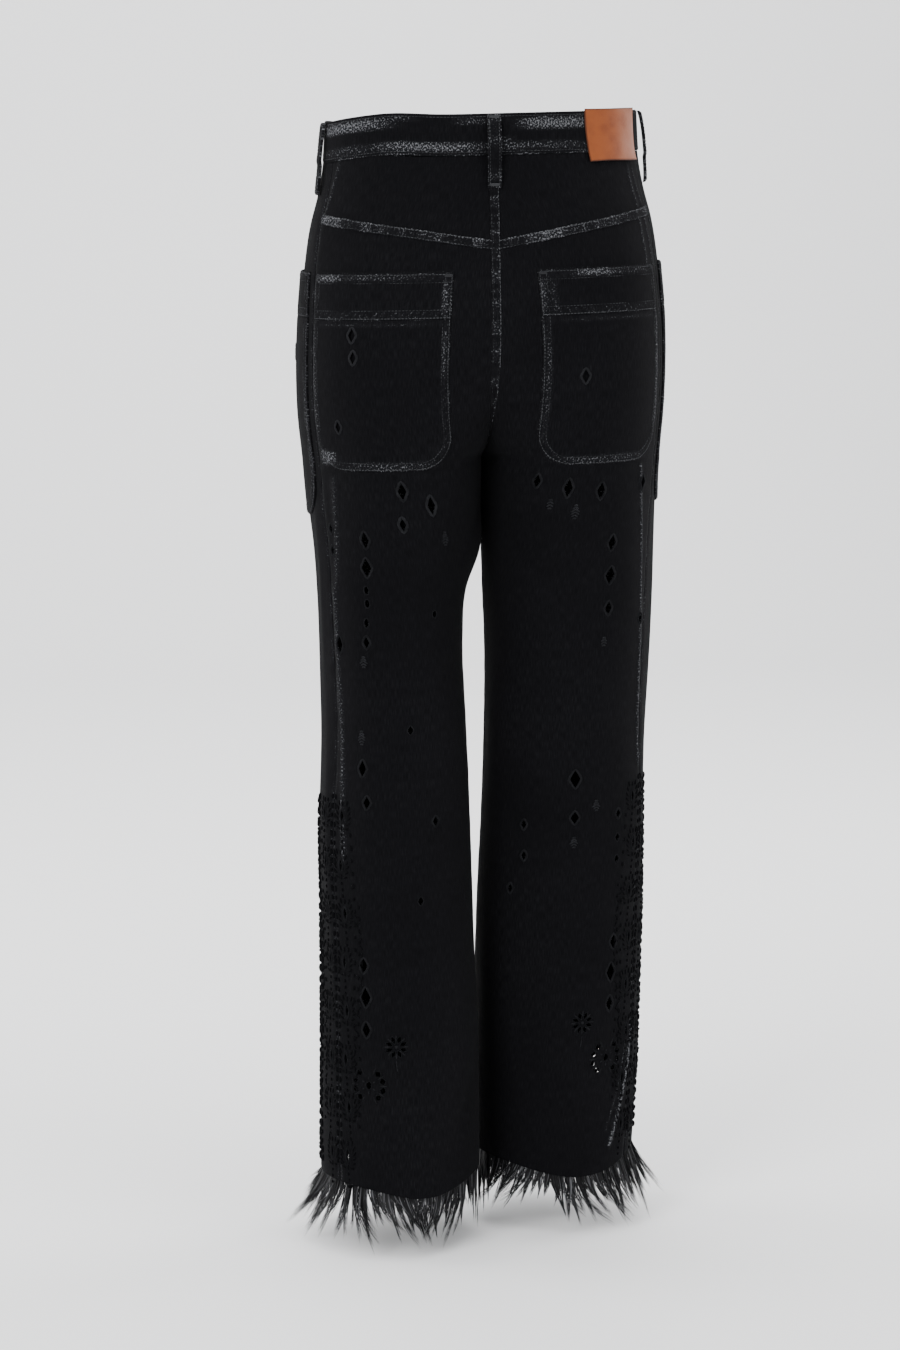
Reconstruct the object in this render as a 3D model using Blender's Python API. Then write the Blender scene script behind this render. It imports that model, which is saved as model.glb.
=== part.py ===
"""Wide-leg jeans with cutwork and feather hems, standing hollow as they are worn.

Metres, +Z up. The origin is the middle of the waist at the height of the waistband's top edge at
the back. The front faces -Y and the wearer's left is +X. Sizes below are in millimetres and are
turned into metres where a mesh is made. "Drop" is the distance below the waist.

Each half of the garment is one tube. A point on it has an angle and a drop: 0 degrees is the
side, +180 is the centre back (or, below the crotch, the inseam) the way round the back, and -180
is the centre front the way round the front. A panel is cut flat in two lengths, its distance from
the side seam along the cloth and its drop, and is then laid on the tube.
"""
import math
from collections import namedtuple

import bmesh
import bpy
import numpy as np
from mathutils import Vector
from mathutils.geometry import delaunay_2d_cdt

MM = 0.001
COLLECTION = "wide_leg_jeans"

# ---------------------------------------------------------------- driving dimensions, in mm
OUTSEAM = 1034.0            # waist to hem at the side
BAND_HEIGHT = 39.0
CLOTH = 1.6                 # wall of a single layer of denim
SEAM_GAP = 0.3              # between neighbouring pieces
LAID_GAP = 1.0              # between a pocket and the panel it lies on
FRONT_DIP = 16.0            # how much lower the waist is at the centre front
YOKE_SIDE = 92.0            # drop of the yoke seam at the side seam
YOKE_CENTRE = 119.0         # and at the centre back
CROTCH = 326.0              # drop of the crotch point
CROTCH_FADE = 60.0          # beside the seam, the hollow of the seat fades out this much lower
BACK_RISE_START = 199.0     # drop where the centre back seam starts to curve under
FRONT_RISE_START = 243.0
HIP_ROLL = math.radians(1.5)     # the wearer's right hip stands higher
HEM_SLOPE = 0.03            # the hem slopes down towards the back

POCKET = dict(top=148.0, bottom=334.0, corner=34.0)
POCKET_PLACE = {                # the two are sewn on a little unevenly
    "left": dict(from_centre=40.0, width=146.0),
    "right": dict(from_centre=39.0, width=137.0),
}
FRONT_POCKET = dict(width=148.0, top=146.0, bottom=382.0, from_side=9.0, corner=34.0)
POCKET_BAND = 43.0          # depth of the strip across a pocket's mouth
POCKET_CLOTH = 1.4
MOUTH_EASE = 1.3            # how far a pocket's mouth stands off the leg

LOOP = dict(width=13.0, length=69.0, thickness=2.0, bow=5.0)
BAND_PROUD = 1.2            # the waistband is thicker than the panels by this
PATCH = dict(from_side=8.0, above=2.0, width=67.0, height=50.0, thickness=1.4)
FLY = dict(width=36.0, length=148.0, thickness=1.1)
BUTTON = dict(radius=8.5, rim=2.2, dome=1.6)

STRANDS_A_LEG = 88
STRAND_LENGTH = 56.0
TRIM_HEIGHT = 10.0          # the strip that the feathers are fused to
TRIM_THICKNESS = 2.6
TRIM_GAP = 1.4              # from the cloth's inner face to the strip

GRID_ACROSS = 27.0          # spacing of a panel's own points
GRID_DOWN = 40.0
DENSE_GRID = 17.0           # under the foot of a pocket, where the seat curves in to the thigh
DENSE = {"back": ((4, 262), (176, 346)), "front": ((4, 302), (170, 390))}
POCKET_GRID = 12.0          # finer, so that a pocket follows the curve it lies on
HEM_STEP = 13.0             # spacing of the points along a hem

# The hem dips in a lobe behind each calf; its middle and spread are in degrees round the leg.
Lobe = namedtuple("Lobe", "depth middle spread")
HEM_LOBES = {"left": Lobe(12.0, 104, 34), "right": Lobe(18.0, 74, 46)}

# ---------------------------------------------------------------- the tube's sections
# outer: reach from the middle plane to the side; inner: from that plane to the inseam; depth:
# half of front to back; mid: middle of that; oval: 1 where hips and waist are one oval, 0 on a
# leg; seam: angle of the side seam, towards the back.
Section = namedtuple("Section", "drop outer inner depth mid oval seam")

HIPS = (
    Section(0, 150.5, 0.15, 91, 6, 0.90, 24),
    Section(41, 153.0, 0.15, 95, 7, 0.90, 24),
    Section(73, 158.5, 0.15, 99, 8, 0.86, 24),
    Section(102, 166.0, 0.15, 103, 9, 0.80, 24),
    Section(145, 172.5, 0.15, 109, 10, 0.66, 24),
    Section(189, 176.5, 0.15, 113, 11, 0.50, 25),
    Section(282, 177.0, 0.15, 113, 7, 0.20, 26),
)
LEFT_LEG = (
    Section(326, 172.5, 0.3, 110, 3, 0.08, 27),
    Section(373, 169.0, 0.9, 105, 2, 0.0, 28),
    Section(420, 164.5, 2.0, 99, 2, 0.0, 29),
    Section(460, 162.0, 15.5, 92, 3, 0.0, 30),
    Section(510, 160.0, 19.0, 87, 6, 0.0, 30),
    Section(595, 158.5, 16.0, 84, 11, 0.0, 30),
    Section(691, 162.5, 13.0, 84, 16, 0.0, 30),
    Section(793, 161.0, 12.5, 84, 21, 0.0, 31),
    Section(895, 161.5, 11.5, 85, 25, 0.0, 32),
    Section(1090, 164.0, 11.0, 87, 29, 0.0, 36),
)
RIGHT_LEG = (
    Section(326, 174.5, 0.3, 109, 3, 0.08, 27),
    Section(373, 172.5, 0.9, 103, 1, 0.0, 28),
    Section(420, 171.5, 1.6, 94, -1, 0.0, 29),
    Section(460, 171.0, 3.0, 85, -4, 0.0, 30),
    Section(510, 169.5, 5.5, 81, -7, 0.0, 30),
    Section(595, 167.0, 6.0, 78, -11, 0.0, 30),
    Section(691, 167.0, 3.5, 78, -15, 0.0, 30),
    Section(793, 166.0, -1.0, 77, -19, 0.0, 31),
    Section(895, 164.0, -2.5, 78, -22, 0.0, 32),
    Section(1090, 156.5, -2.5, 80, -26, 0.0, 36),
)

# ---------------------------------------------------------------- cutwork
# leg: which leg has the opening; across: mm from the side seam along the cloth; drop: mm below
# the waist; then the opening's own size
Cut = namedtuple("Cut", "leg across drop width height shape")

BACK_CUTS = (
    Cut("left", 97, 354, 9, 18, "diamond"), Cut("left", 124, 369, 9, 19, "diamond"),
    Cut("left", 93, 386, 7, 14, "diamond"), Cut("left", 10, 392, 6, 10, "diamond"),
    Cut("left", 9, 413, 6, 10, "diamond"), Cut("left", 12, 505, 9, 18, "diamond"),
    Cut("left", 53, 401, 9, 17, "diamond"), Cut("left", 51, 428, 11, 19, "diamond"),
    Cut("left", 49, 450, 5, 8, "eyelet"), Cut("left", 49, 463, 5, 8, "eyelet"),
    Cut("left", 47, 482, 5, 9, "eyelet"), Cut("left", 46, 501, 7, 12, "diamond"),
    Cut("left", 117, 476, 5, 7, "eyelet"), Cut("left", 86, 587, 6, 9, "diamond"),
    Cut("left", 38, 624, 9, 17, "diamond"), Cut("left", 44, 657, 8, 13, "diamond"),
    Cut("left", 116, 678, 7, 10, "diamond"), Cut("left", 96, 754, 6, 9, "diamond"),
    Cut("right", 148, 350, 8, 13, "diamond"), Cut("right", 116, 357, 9, 18, "diamond"),
    Cut("right", 83, 361, 9, 17, "diamond"), Cut("right", 28, 357, 9, 16, "diamond"),
    Cut("right", 63, 413, 9, 16, "diamond"), Cut("right", 59, 446, 11, 18, "diamond"),
    Cut("right", 57, 479, 8, 14, "diamond"), Cut("right", 11, 494, 6, 10, "diamond"),
    Cut("right", 84, 648, 11, 18, "diamond"), Cut("right", 84, 687, 9, 13, "diamond"),
    Cut("right", 36, 687, 6, 10, "diamond"), Cut("right", 36, 711, 6, 9, "diamond"),
    Cut("right", 36, 733, 6, 9, "diamond"), Cut("right", 136, 694, 6, 10, "diamond"),
    Cut("right", 134, 725, 6, 10, "diamond"), Cut("right", 148, 759, 6, 10, "diamond"),
    Cut("both", 36, 817, 9, 15, "diamond"), Cut("both", 38, 848, 11, 20, "diamond"),
    Cut("both", 38, 880, 9, 16, "diamond"),
)
FRONT_CUTS = (
    Cut("both", 100, 426, 8, 16, "diamond"), Cut("both", 100, 456, 10, 19, "diamond"),
    Cut("both", 100, 487, 8, 15, "diamond"), Cut("both", 152, 550, 8, 16, "diamond"),
    Cut("both", 110, 630, 9, 18, "diamond"), Cut("both", 110, 664, 8, 14, "diamond"),
    Cut("both", 176, 708, 6, 10, "diamond"), Cut("both", 150, 782, 6, 10, "diamond"),
    Cut("both", 116, 817, 9, 15, "diamond"), Cut("both", 116, 848, 11, 20, "diamond"),
    Cut("both", 116, 880, 9, 16, "diamond"), Cut("both", 196, 872, 6, 11, "diamond"),
    Cut("left", 142, 972, 5, 6, "eyelet"),
)
POCKET_CUTS = {
    "back": (Cut("left", 58, 205, 8, 14, "diamond"), Cut("left", 60, 226, 7, 13, "diamond"),
             Cut("left", 40, 292, 7, 12, "diamond"), Cut("right", 112, 249, 8, 14, "diamond")),
    "front": (Cut("both", 54, 224, 7, 14, "diamond"),),
}
FLOWER = dict(across={"back": 68.0, "front": 136.0}, drop=896.0, petals=8, radius=7.6,
              width=4.2, length=7.6)
WHEEL = dict(across={"back": 39.0, "front": 101.0}, drop={"back": 935.0, "front": 973.0},
             radius=15.5, width=7.4, length=6.4, turns=(-50, -17, 17, 50))
SIDE_SLITS = dict(first=672.0, pitch=48.0, count=8, width=4.6, height=14.0, across=(15.0, 12.0))

Colour = namedtuple("Colour", "base roughness metallic")
DENIM = Colour((0.011, 0.011, 0.013), 0.82, 0.0)
LEATHER = Colour((0.51, 0.17, 0.06), 0.55, 0.0)
FEATHER = Colour((0.008, 0.008, 0.009), 0.6, 0.0)
GUNMETAL = Colour((0.12, 0.12, 0.13), 0.35, 0.9)


# ---------------------------------------------------------------- the form
def smooth_rows(xs, ys, x):
    """Cubic curve through (xs, ys), with each slope the mean of its neighbours'."""
    slopes = np.gradient(ys, xs)
    x = np.clip(x, xs[0], xs[-1])
    i = np.clip(np.searchsorted(xs, x) - 1, 0, len(xs) - 2)
    step = xs[i + 1] - xs[i]
    t = (x - xs[i]) / step
    return ((1 + 2 * t) * (1 - t) ** 2 * ys[i] + t * (1 - t) ** 2 * step * slopes[i]
            + t * t * (3 - 2 * t) * ys[i + 1] + t * t * (t - 1) * step * slopes[i + 1])


class Tube:
    """One half of the garment: hips on one side and that side's leg."""

    def __init__(self, side):
        self.side = side
        self.sign = 1 if side == "left" else -1
        rows = HIPS + (LEFT_LEG if side == "left" else RIGHT_LEG)
        self.columns = {name: np.array([getattr(row, name) for row in rows], float)
                        for name in Section._fields}
        self.hem = OUTSEAM
        self.lobe = HEM_LOBES[side]
        self.drops = np.arange(-10.0, self.hem + 40.0, 10.0)
        self.lengths = {}
        for panel in ("back", "front"):
            self.lengths[panel] = self.measure(panel)

    def value(self, name, drop):
        return smooth_rows(self.columns["drop"], self.columns[name], np.asarray(drop, float))

    def section(self, angle, drop):
        """x and y of the tube, in mm, at an angle in radians and a drop."""
        outer, inner = self.value("outer", drop), self.value("inner", drop)
        depth, mid, oval = (self.value(name, drop) for name in ("depth", "mid", "oval"))
        centre, reach = (outer + inner) / 2, (outer - inner) / 2
        cosine, sine = np.cos(angle), np.abs(np.sin(angle))
        back = np.sin(angle) >= 0
        start = np.where(back, BACK_RISE_START, FRONT_RISE_START)
        under = np.clip((drop - start) / (CROTCH - start), 0, 1)
        beside = np.clip((drop - start) / (CROTCH + CROTCH_FADE - start), 0, 1)
        nearness = np.sqrt(1 - sine)
        rise = (nearness * np.sqrt(1 - under ** 2)
                + (1 - nearness) * (1 - beside ** 2 * (3 - 2 * beside)))
        inwards = 1 - (1 - rise) * (1 - sine)
        leg = np.where(cosine > 0, sine, inwards)
        whole = np.sqrt(np.maximum((1 - cosine) * (3 + cosine), 0)) / 2
        y = mid + np.where(back, 1, -1) * depth * ((1 - oval) * leg + oval * whole * inwards)
        return self.sign * (centre + reach * cosine), y

    def point(self, angle, drop, lift=0.0):
        """Place in mm, moved out of the cloth's outer face by lift."""
        angle, drop = np.broadcast_arrays(np.asarray(angle, float), np.asarray(drop, float))
        place = self.surface(angle, drop)
        if np.any(lift):
            place = place + self.normal(angle, drop) * np.asarray(lift, float)[..., None]
        return place

    def surface(self, angle, drop):
        x, y = self.section(angle, drop)
        return np.stack([x, y, -drop - x * math.tan(HIP_ROLL)], -1)

    def normal(self, angle, drop):
        """Unit normal out of the cloth. It is read just beside the centre seams."""
        angle = np.clip(angle, 0.02 - math.pi, math.pi - 0.02)
        around = self.surface(angle + 0.01, drop) - self.surface(angle - 0.01, drop)
        down = self.surface(angle, drop + 1.0) - self.surface(angle, drop - 1.0)
        out = -self.sign * np.cross(around, down)
        return out / np.linalg.norm(out, axis=-1, keepdims=True)

    def sweep(self, panel, part, drop):
        """Angle at a part, 0 to 1, of the way from the side seam to the centre or inseam."""
        seam = np.radians(self.value("seam", drop))
        end = math.pi if panel == "back" else -math.pi
        return seam + (end - seam) * part

    def measure(self, panel):
        """Lengths along the cloth from the side seam, a row for each of self.drops."""
        part = np.linspace(0, 1, 121)
        drop, part = np.meshgrid(self.drops, part, indexing="ij")
        x, y = self.section(self.sweep(panel, part, drop), drop)
        steps = np.hypot(np.diff(x, axis=1), np.diff(y, axis=1))
        return np.concatenate([np.zeros((len(self.drops), 1)), np.cumsum(steps, 1)], 1)

    def width(self, panel, drop):
        """Width of a panel along the cloth."""
        return np.interp(drop, self.drops, self.lengths[panel][:, -1])

    def angle(self, panel, across, drop):
        """Angle of the point that lies so far across a panel from the side seam."""
        across, drop = np.broadcast_arrays(np.asarray(across, float), np.asarray(drop, float))
        table = self.lengths[panel]
        parts = np.linspace(0, 1, table.shape[1])
        share = across / self.width(panel, drop)
        row = np.clip((drop - self.drops[0]) / 10.0, 0, len(self.drops) - 1.001)
        low = np.floor(row).astype(int)
        found = np.zeros(across.shape)
        for near, weight in ((low, 1 - (row - low)), (low + 1, row - low)):
            for i in np.unique(near):
                here = near == i
                along = share[here] * table[i, -1]
                found[here] += weight[here] * np.interp(along, table[i], parts)
        return self.sweep(panel, found, drop)

    def laid(self, panel, flat, lift):
        """Places of flat points (across, drop) on the tube."""
        return self.point(self.angle(panel, flat[:, 0], flat[:, 1]), flat[:, 1], lift)

    def waist_drop(self, angle):
        """Drop of the waistband's top edge: level at the back and sides, dipping in front."""
        _, y = self.section(angle, np.zeros_like(angle))
        ahead = np.clip((6 - y) / 94.0, 0, 1)
        return FRONT_DIP * ahead ** 1.6

    def hem_drop(self, angle):
        """Drop of the hem: level at the sides and front, with a lobe at the back."""
        angle = np.asarray(angle, float)
        _, y = self.section(angle, np.full(angle.shape, self.hem))
        away = (np.degrees(angle) - self.lobe.middle) / self.lobe.spread
        lobe = self.lobe.depth * np.exp(-away ** 2)
        return self.hem + HEM_SLOPE * (y - self.value("mid", self.hem)) + lobe


# ---------------------------------------------------------------- meshes
def make_object(name, mesh, colour):
    """Link a mesh as an object with its own material."""
    material = bpy.data.materials.new(name)
    material.use_nodes = True
    shader = material.node_tree.nodes["Principled BSDF"]
    shader.inputs["Base Color"].default_value = (*colour.base, 1.0)
    shader.inputs["Roughness"].default_value = colour.roughness
    shader.inputs["Metallic"].default_value = colour.metallic
    mesh.materials.append(material)
    mesh.shade_smooth()
    mesh.set_sharp_from_angle(angle=math.radians(40))
    piece = bpy.data.objects.new(name, mesh)
    bpy.data.collections[COLLECTION].objects.link(piece)
    return piece


def closed_mesh(name, points, faces):
    """A closed mesh from points in mm, with its faces turned outwards."""
    shape = bmesh.new()
    corners = [shape.verts.new(Vector(point) * MM) for point in points]
    for face in faces:
        shape.faces.new([corners[i] for i in face])
    bmesh.ops.recalc_face_normals(shape, faces=shape.faces)
    bmesh.ops.triangulate(shape, faces=shape.faces)
    mesh = bpy.data.meshes.new(name)
    shape.to_mesh(mesh)
    shape.free()
    return mesh


def rim_edges(faces):
    """Edges that only one face has, in that face's direction."""
    seen = {}
    for face in faces:
        for a, b in zip(face, face[1:] + face[:1]):
            key = (min(a, b), max(a, b))
            seen[key] = None if key in seen else (a, b)
    return [edge for edge in seen.values() if edge]


def wall(name, outside, inside, faces, colour):
    """Cloth between two like sheets of points: both faces and the rim round every edge."""
    count = len(outside)
    faces = [list(face) for face in faces]
    back = [[i + count for i in reversed(face)] for face in faces]
    rim = [[b, a, a + count, b + count] for a, b in rim_edges(faces)]
    mesh = closed_mesh(name, np.concatenate([outside, inside]), faces + back + rim)
    return make_object(name, mesh, colour)


def grid_faces(rows, columns, closed=False):
    """Quads of a grid of points stored row by row, joined round if closed."""
    last = columns if closed else columns - 1
    return [[r * columns + c, r * columns + (c + 1) % columns,
             (r + 1) * columns + (c + 1) % columns, (r + 1) * columns + c]
            for r in range(rows - 1) for c in range(last)]


def inside_outline(points, outline):
    """Whether each flat point lies within a closed outline."""
    found = np.zeros(len(points), bool)
    for (x0, y0), (x1, y1) in zip(outline, np.roll(outline, -1, axis=0)):
        crosses = (y0 > points[:, 1]) != (y1 > points[:, 1])
        run = (x1 - x0) * (points[:, 1] - y0) / ((y1 - y0) or 1e-9) + x0
        found ^= crosses & (points[:, 0] < run)
    return found


def edge_distance(points, outline):
    """Distance from each flat point to the nearest side of an outline."""
    nearest = np.full(len(points), np.inf)
    for start, end in zip(outline, np.roll(outline, -1, axis=0)):
        run = end - start
        t = np.clip((points - start) @ run / max(run @ run, 1e-9), 0, 1)
        nearest = np.minimum(nearest, np.linalg.norm(points - start - t[:, None] * run, axis=1))
    return nearest


def flat_grid(low, high, across, down):
    """Evenly spaced flat points between two corners."""
    xs = np.arange(low[0] + across / 2, high[0], across)
    ys = np.arange(low[1] + down / 2, high[1], down)
    return np.stack(np.meshgrid(xs, ys), -1).reshape(-1, 2)


def cut_sheet(outline, holes, across=GRID_ACROSS, down=GRID_DOWN, dense=None):
    """Flat points and triangles of a panel with its outline, its openings and a loose grid.

    dense holds the two corners of a region whose grid is finer.
    """
    outline = np.asarray(outline, float)
    grid = flat_grid(outline.min(0), outline.max(0), across, down)
    clear = np.full(len(grid), 0.3 * across)
    if dense:
        low, high = np.array(dense)
        coarse = grid[~((grid > low) & (grid < high)).all(1)]
        grid = np.concatenate([coarse, flat_grid(low, high, DENSE_GRID, DENSE_GRID)])
        clear = np.full(len(grid), 0.3 * across)
        clear[len(coarse):] = 0.4 * DENSE_GRID
    keep = inside_outline(grid, outline) & (edge_distance(grid, outline) > clear)
    for hole in holes:
        keep &= ~inside_outline(grid, hole) & (edge_distance(grid, hole) > clear)
    loops = [outline] + list(holes)
    edges, first = [], 0
    for loop in loops:
        edges += [(first + i, first + (i + 1) % len(loop)) for i in range(len(loop))]
        first += len(loop)
    flat = np.concatenate(loops + [grid[keep]])
    found = delaunay_2d_cdt([Vector(p) for p in flat], edges, [], 1, 1e-5)
    points = np.array([tuple(p) for p in found[0]])
    faces = np.array([f for f in found[2]])
    middle = points[faces].mean(1)
    solid = inside_outline(middle, outline)
    for hole in holes:
        solid &= ~inside_outline(middle, hole)
    faces = faces[solid]
    used = np.unique(faces)
    order = np.full(len(points), -1)
    order[used] = np.arange(len(used))
    return points[used], [[int(i) for i in face] for face in order[faces]]


# ---------------------------------------------------------------- outlines of the openings
def diamond(cut):
    half, tall = cut.width / 2, cut.height / 2
    return [(half, 0), (0, tall), (-half, 0), (0, -tall)]


def eyelet(cut):
    turns = [math.radians(60 * k) for k in range(6)]
    return [(cut.width / 2 * math.cos(t), cut.height / 2 * math.sin(t)) for t in turns]


SHAPES = {"diamond": diamond, "eyelet": eyelet}


def cut_outline(cut, turn=0.0):
    """Flat outline of an opening, turned about its own middle."""
    corners = np.array(SHAPES[cut.shape](cut))
    c, s = math.cos(turn), math.sin(turn)
    turned = corners @ np.array([[c, s], [-s, c]])
    return turned + (cut.across, cut.drop)


def petal_cuts(across, drop, radius, width, length, turns):
    """Openings set like spokes round a middle; turns are in degrees from straight up."""
    outlines = []
    for turn in turns:
        angle = math.radians(turn)
        x, y = across + radius * math.sin(angle), drop - radius * math.cos(angle)
        outlines.append(cut_outline(Cut("both", x, y, width, length, "diamond"), angle))
    return outlines


def cuts_of(cuts, side):
    """Outlines of the openings in a table that one leg has."""
    return [cut_outline(cut) for cut in cuts if cut.leg in (side, "both")]


def panel_cuts(side, panel):
    """All openings of one leg panel."""
    outlines = cuts_of(BACK_CUTS if panel == "back" else FRONT_CUTS, side)
    spin = [360 * k / FLOWER["petals"] + 22.5 for k in range(FLOWER["petals"])]
    outlines += petal_cuts(FLOWER["across"][panel], FLOWER["drop"], FLOWER["radius"],
                           FLOWER["width"], FLOWER["length"], spin)
    wheel = [90 + turn for turn in WHEEL["turns"]] + [270 + turn for turn in WHEEL["turns"]]
    outlines += petal_cuts(WHEEL["across"][panel], WHEEL["drop"][panel], WHEEL["radius"],
                           WHEEL["width"], WHEEL["length"], wheel)
    hub = Cut("both", WHEEL["across"][panel], WHEEL["drop"][panel], 6.0, 8.0, "eyelet")
    outlines.append(cut_outline(hub))
    for k in range(SIDE_SLITS["count"]):
        across = SIDE_SLITS["across"][k % 2]
        drop = SIDE_SLITS["first"] + SIDE_SLITS["pitch"] * k
        slit = Cut("both", across, drop, SIDE_SLITS["width"], SIDE_SLITS["height"], "diamond")
        outlines.append(cut_outline(slit))
    return outlines


# ---------------------------------------------------------------- outlines of the panels
def yoke_drop(part):
    """Drop of the yoke seam at a part of the way from the side seam to the centre back."""
    return YOKE_SIDE + (YOKE_CENTRE - YOKE_SIDE) * part ** 1.15


def seam_rows(top, bottom, step):
    """Drops down a seam, shared by both panels along it, closer together round the crotch."""
    rows = list(np.arange(math.ceil(top / step) * step, bottom, step))
    return [row for row in rows if row - top > 0.3 * step and bottom - row > 0.3 * step]


def centre_rows(top, bottom):
    """Drops down a centre seam, round the crotch and down the inseam."""
    curve = BACK_RISE_START + (CROTCH - BACK_RISE_START) * np.sin(np.radians([0, 30, 50, 68, 80]))
    rows = seam_rows(top, BACK_RISE_START, GRID_DOWN) + list(curve) + [CROTCH]
    rows += seam_rows(CROTCH, bottom, GRID_DOWN)
    return [row for row in rows if row - top > 6]


def flat_edge(tube, panel, parts, drops):
    """Flat points at parts of the way across, kept half a seam gap inside the panel's edges."""
    parts, drops = np.broadcast_arrays(np.asarray(parts, float), np.asarray(drops, float))
    width = tube.width(panel, drops)
    across = np.clip(parts * width, SEAM_GAP / 2, width - SEAM_GAP / 2)
    return list(zip(across, drops))


def leg_outline(tube, panel):
    """Outline of a leg panel, from its top edge at the side seam, round to the side seam."""
    parts = np.linspace(0, 1, 9)
    if panel == "back":
        top = yoke_drop(parts) + SEAM_GAP / 2
    else:
        top = tube.waist_drop(tube.sweep(panel, parts, 0.0)) + BAND_HEIGHT + SEAM_GAP
    hem_parts = np.linspace(1, 0, round(float(tube.width(panel, tube.hem)) / HEM_STEP))
    hem = tube.hem_drop(tube.sweep(panel, hem_parts, tube.hem))
    outline = flat_edge(tube, panel, parts, top)
    outline += flat_edge(tube, panel, 1.0, centre_rows(top[-1], hem[0]))
    outline += flat_edge(tube, panel, hem_parts, hem)
    outline += flat_edge(tube, panel, 0.0, seam_rows(top[0], hem[-1], GRID_DOWN)[::-1])
    return outline


def yoke_outline(tube):
    parts = np.linspace(0, 1, 9)
    top = tube.waist_drop(tube.sweep("back", parts, 0.0)) + BAND_HEIGHT + SEAM_GAP
    bottom = yoke_drop(parts) - SEAM_GAP / 2
    outline = flat_edge(tube, "back", parts, top)
    outline += flat_edge(tube, "back", 1.0, [(top[-1] + bottom[-1]) / 2])
    outline += flat_edge(tube, "back", parts[::-1], bottom[::-1])
    outline += flat_edge(tube, "back", 0.0, seam_rows(top[0], bottom[0], GRID_DOWN)[::-1])
    return outline


def pocket_outline(left, right, top, bottom, corner=0.0, rows=5, columns=13):
    """Rectangle with points along its sides, its two lower corners rounded if corner is set."""
    across = np.linspace(left, right, columns)
    downs = np.linspace(top, bottom - corner, rows)
    outline = [(x, top) for x in across] + [(right, y) for y in downs[1:]]
    outline += corner_points(right - corner, bottom, corner, (22, 45, 68, 90))
    foot = across[(across > left + corner + 4) & (across < right - corner - 4)]
    outline += [(x, bottom) for x in foot[::-1]]
    outline += corner_points(left + corner, bottom, corner, (90, 112, 135, 158))
    return outline + [(left, y) for y in downs[:0:-1]]


def corner_points(across, bottom, corner, turns):
    """Points round a lower corner of a pocket, at turns in degrees from its right-hand side."""
    return [(across + corner * math.cos(math.radians(turn)),
             bottom - corner + corner * math.sin(math.radians(turn)))
            for turn in turns if corner]


# ---------------------------------------------------------------- pieces
def build_leg_panel(tube, panel):
    flat, faces = cut_sheet(leg_outline(tube, panel), panel_cuts(tube.side, panel),
                            dense=DENSE[panel])
    wall(f"{panel}_{tube.side}", tube.laid(panel, flat, 0.0), tube.laid(panel, flat, -CLOTH),
         faces, DENIM)


def build_yoke(tube):
    flat, faces = cut_sheet(yoke_outline(tube), [], GRID_ACROSS, 22.0)
    wall(f"yoke_{tube.side}", tube.laid("back", flat, 0.0), tube.laid("back", flat, -CLOTH),
         faces, DENIM)


def pocket_lift(flat, left, right, top, bottom):
    """Height of a pocket's inner face over the leg: least round the seams, most at the mouth."""
    across = np.clip((flat[:, 0] - left) / (right - left), 0, 1)
    down = np.clip((flat[:, 1] - top) / (bottom - top), 0, 1)
    return LAID_GAP + MOUTH_EASE * np.sin(math.pi * across) * (1 - down) ** 2


def build_pocket(tube, panel):
    """A patch pocket: the bag below, and the strip sewn across its mouth."""
    size = POCKET if panel == "back" else FRONT_POCKET
    top, bottom = size["top"], size["bottom"]
    if panel == "back":
        place = POCKET_PLACE[tube.side]
        right = tube.width("back", top) - place["from_centre"]
        left = right - place["width"]
    else:
        left = size["from_side"]
        right = left + size["width"]
    mouth = top + POCKET_BAND
    cuts = cuts_of(POCKET_CUTS[panel], tube.side)
    pieces = {
        f"{panel}_pocket_band_{tube.side}": (pocket_outline(left, right, top, mouth, rows=3), []),
        f"{panel}_pocket_{tube.side}": (
            pocket_outline(left, right, mouth + SEAM_GAP, bottom, size["corner"]), cuts),
    }
    for name, (outline, holes) in pieces.items():
        flat, faces = cut_sheet(outline, holes, POCKET_GRID, 30.0)
        lift = pocket_lift(flat, left, right, top, bottom)
        wall(name, tube.laid(panel, flat, lift + POCKET_CLOTH), tube.laid(panel, flat, lift),
             faces, DENIM)


def band_stations(tubes):
    """Tube and angle of each station round the waist, from the left front round the back."""
    turns = np.radians(np.linspace(-180, 180, 25))
    left = [(tubes["left"], turn) for turn in turns]
    right = [(tubes["right"], turn) for turn in turns[::-1]]
    return left[:-1] + right


def build_waistband(tubes):
    """A band that is open at the centre front, between the edges of its two ends."""
    rows = np.linspace(0, BAND_HEIGHT, 3)
    outside, inside = [], []
    stations = band_stations(tubes)
    for down in rows:
        for tube, turn in stations:
            drop = tube.waist_drop(np.array(turn)) + down
            outside.append(tube.point(turn, drop, BAND_PROUD))
            inside.append(tube.point(turn, drop, -CLOTH))
    wall("waistband", np.array(outside), np.array(inside),
         grid_faces(len(rows), len(stations)), DENIM)


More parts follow.
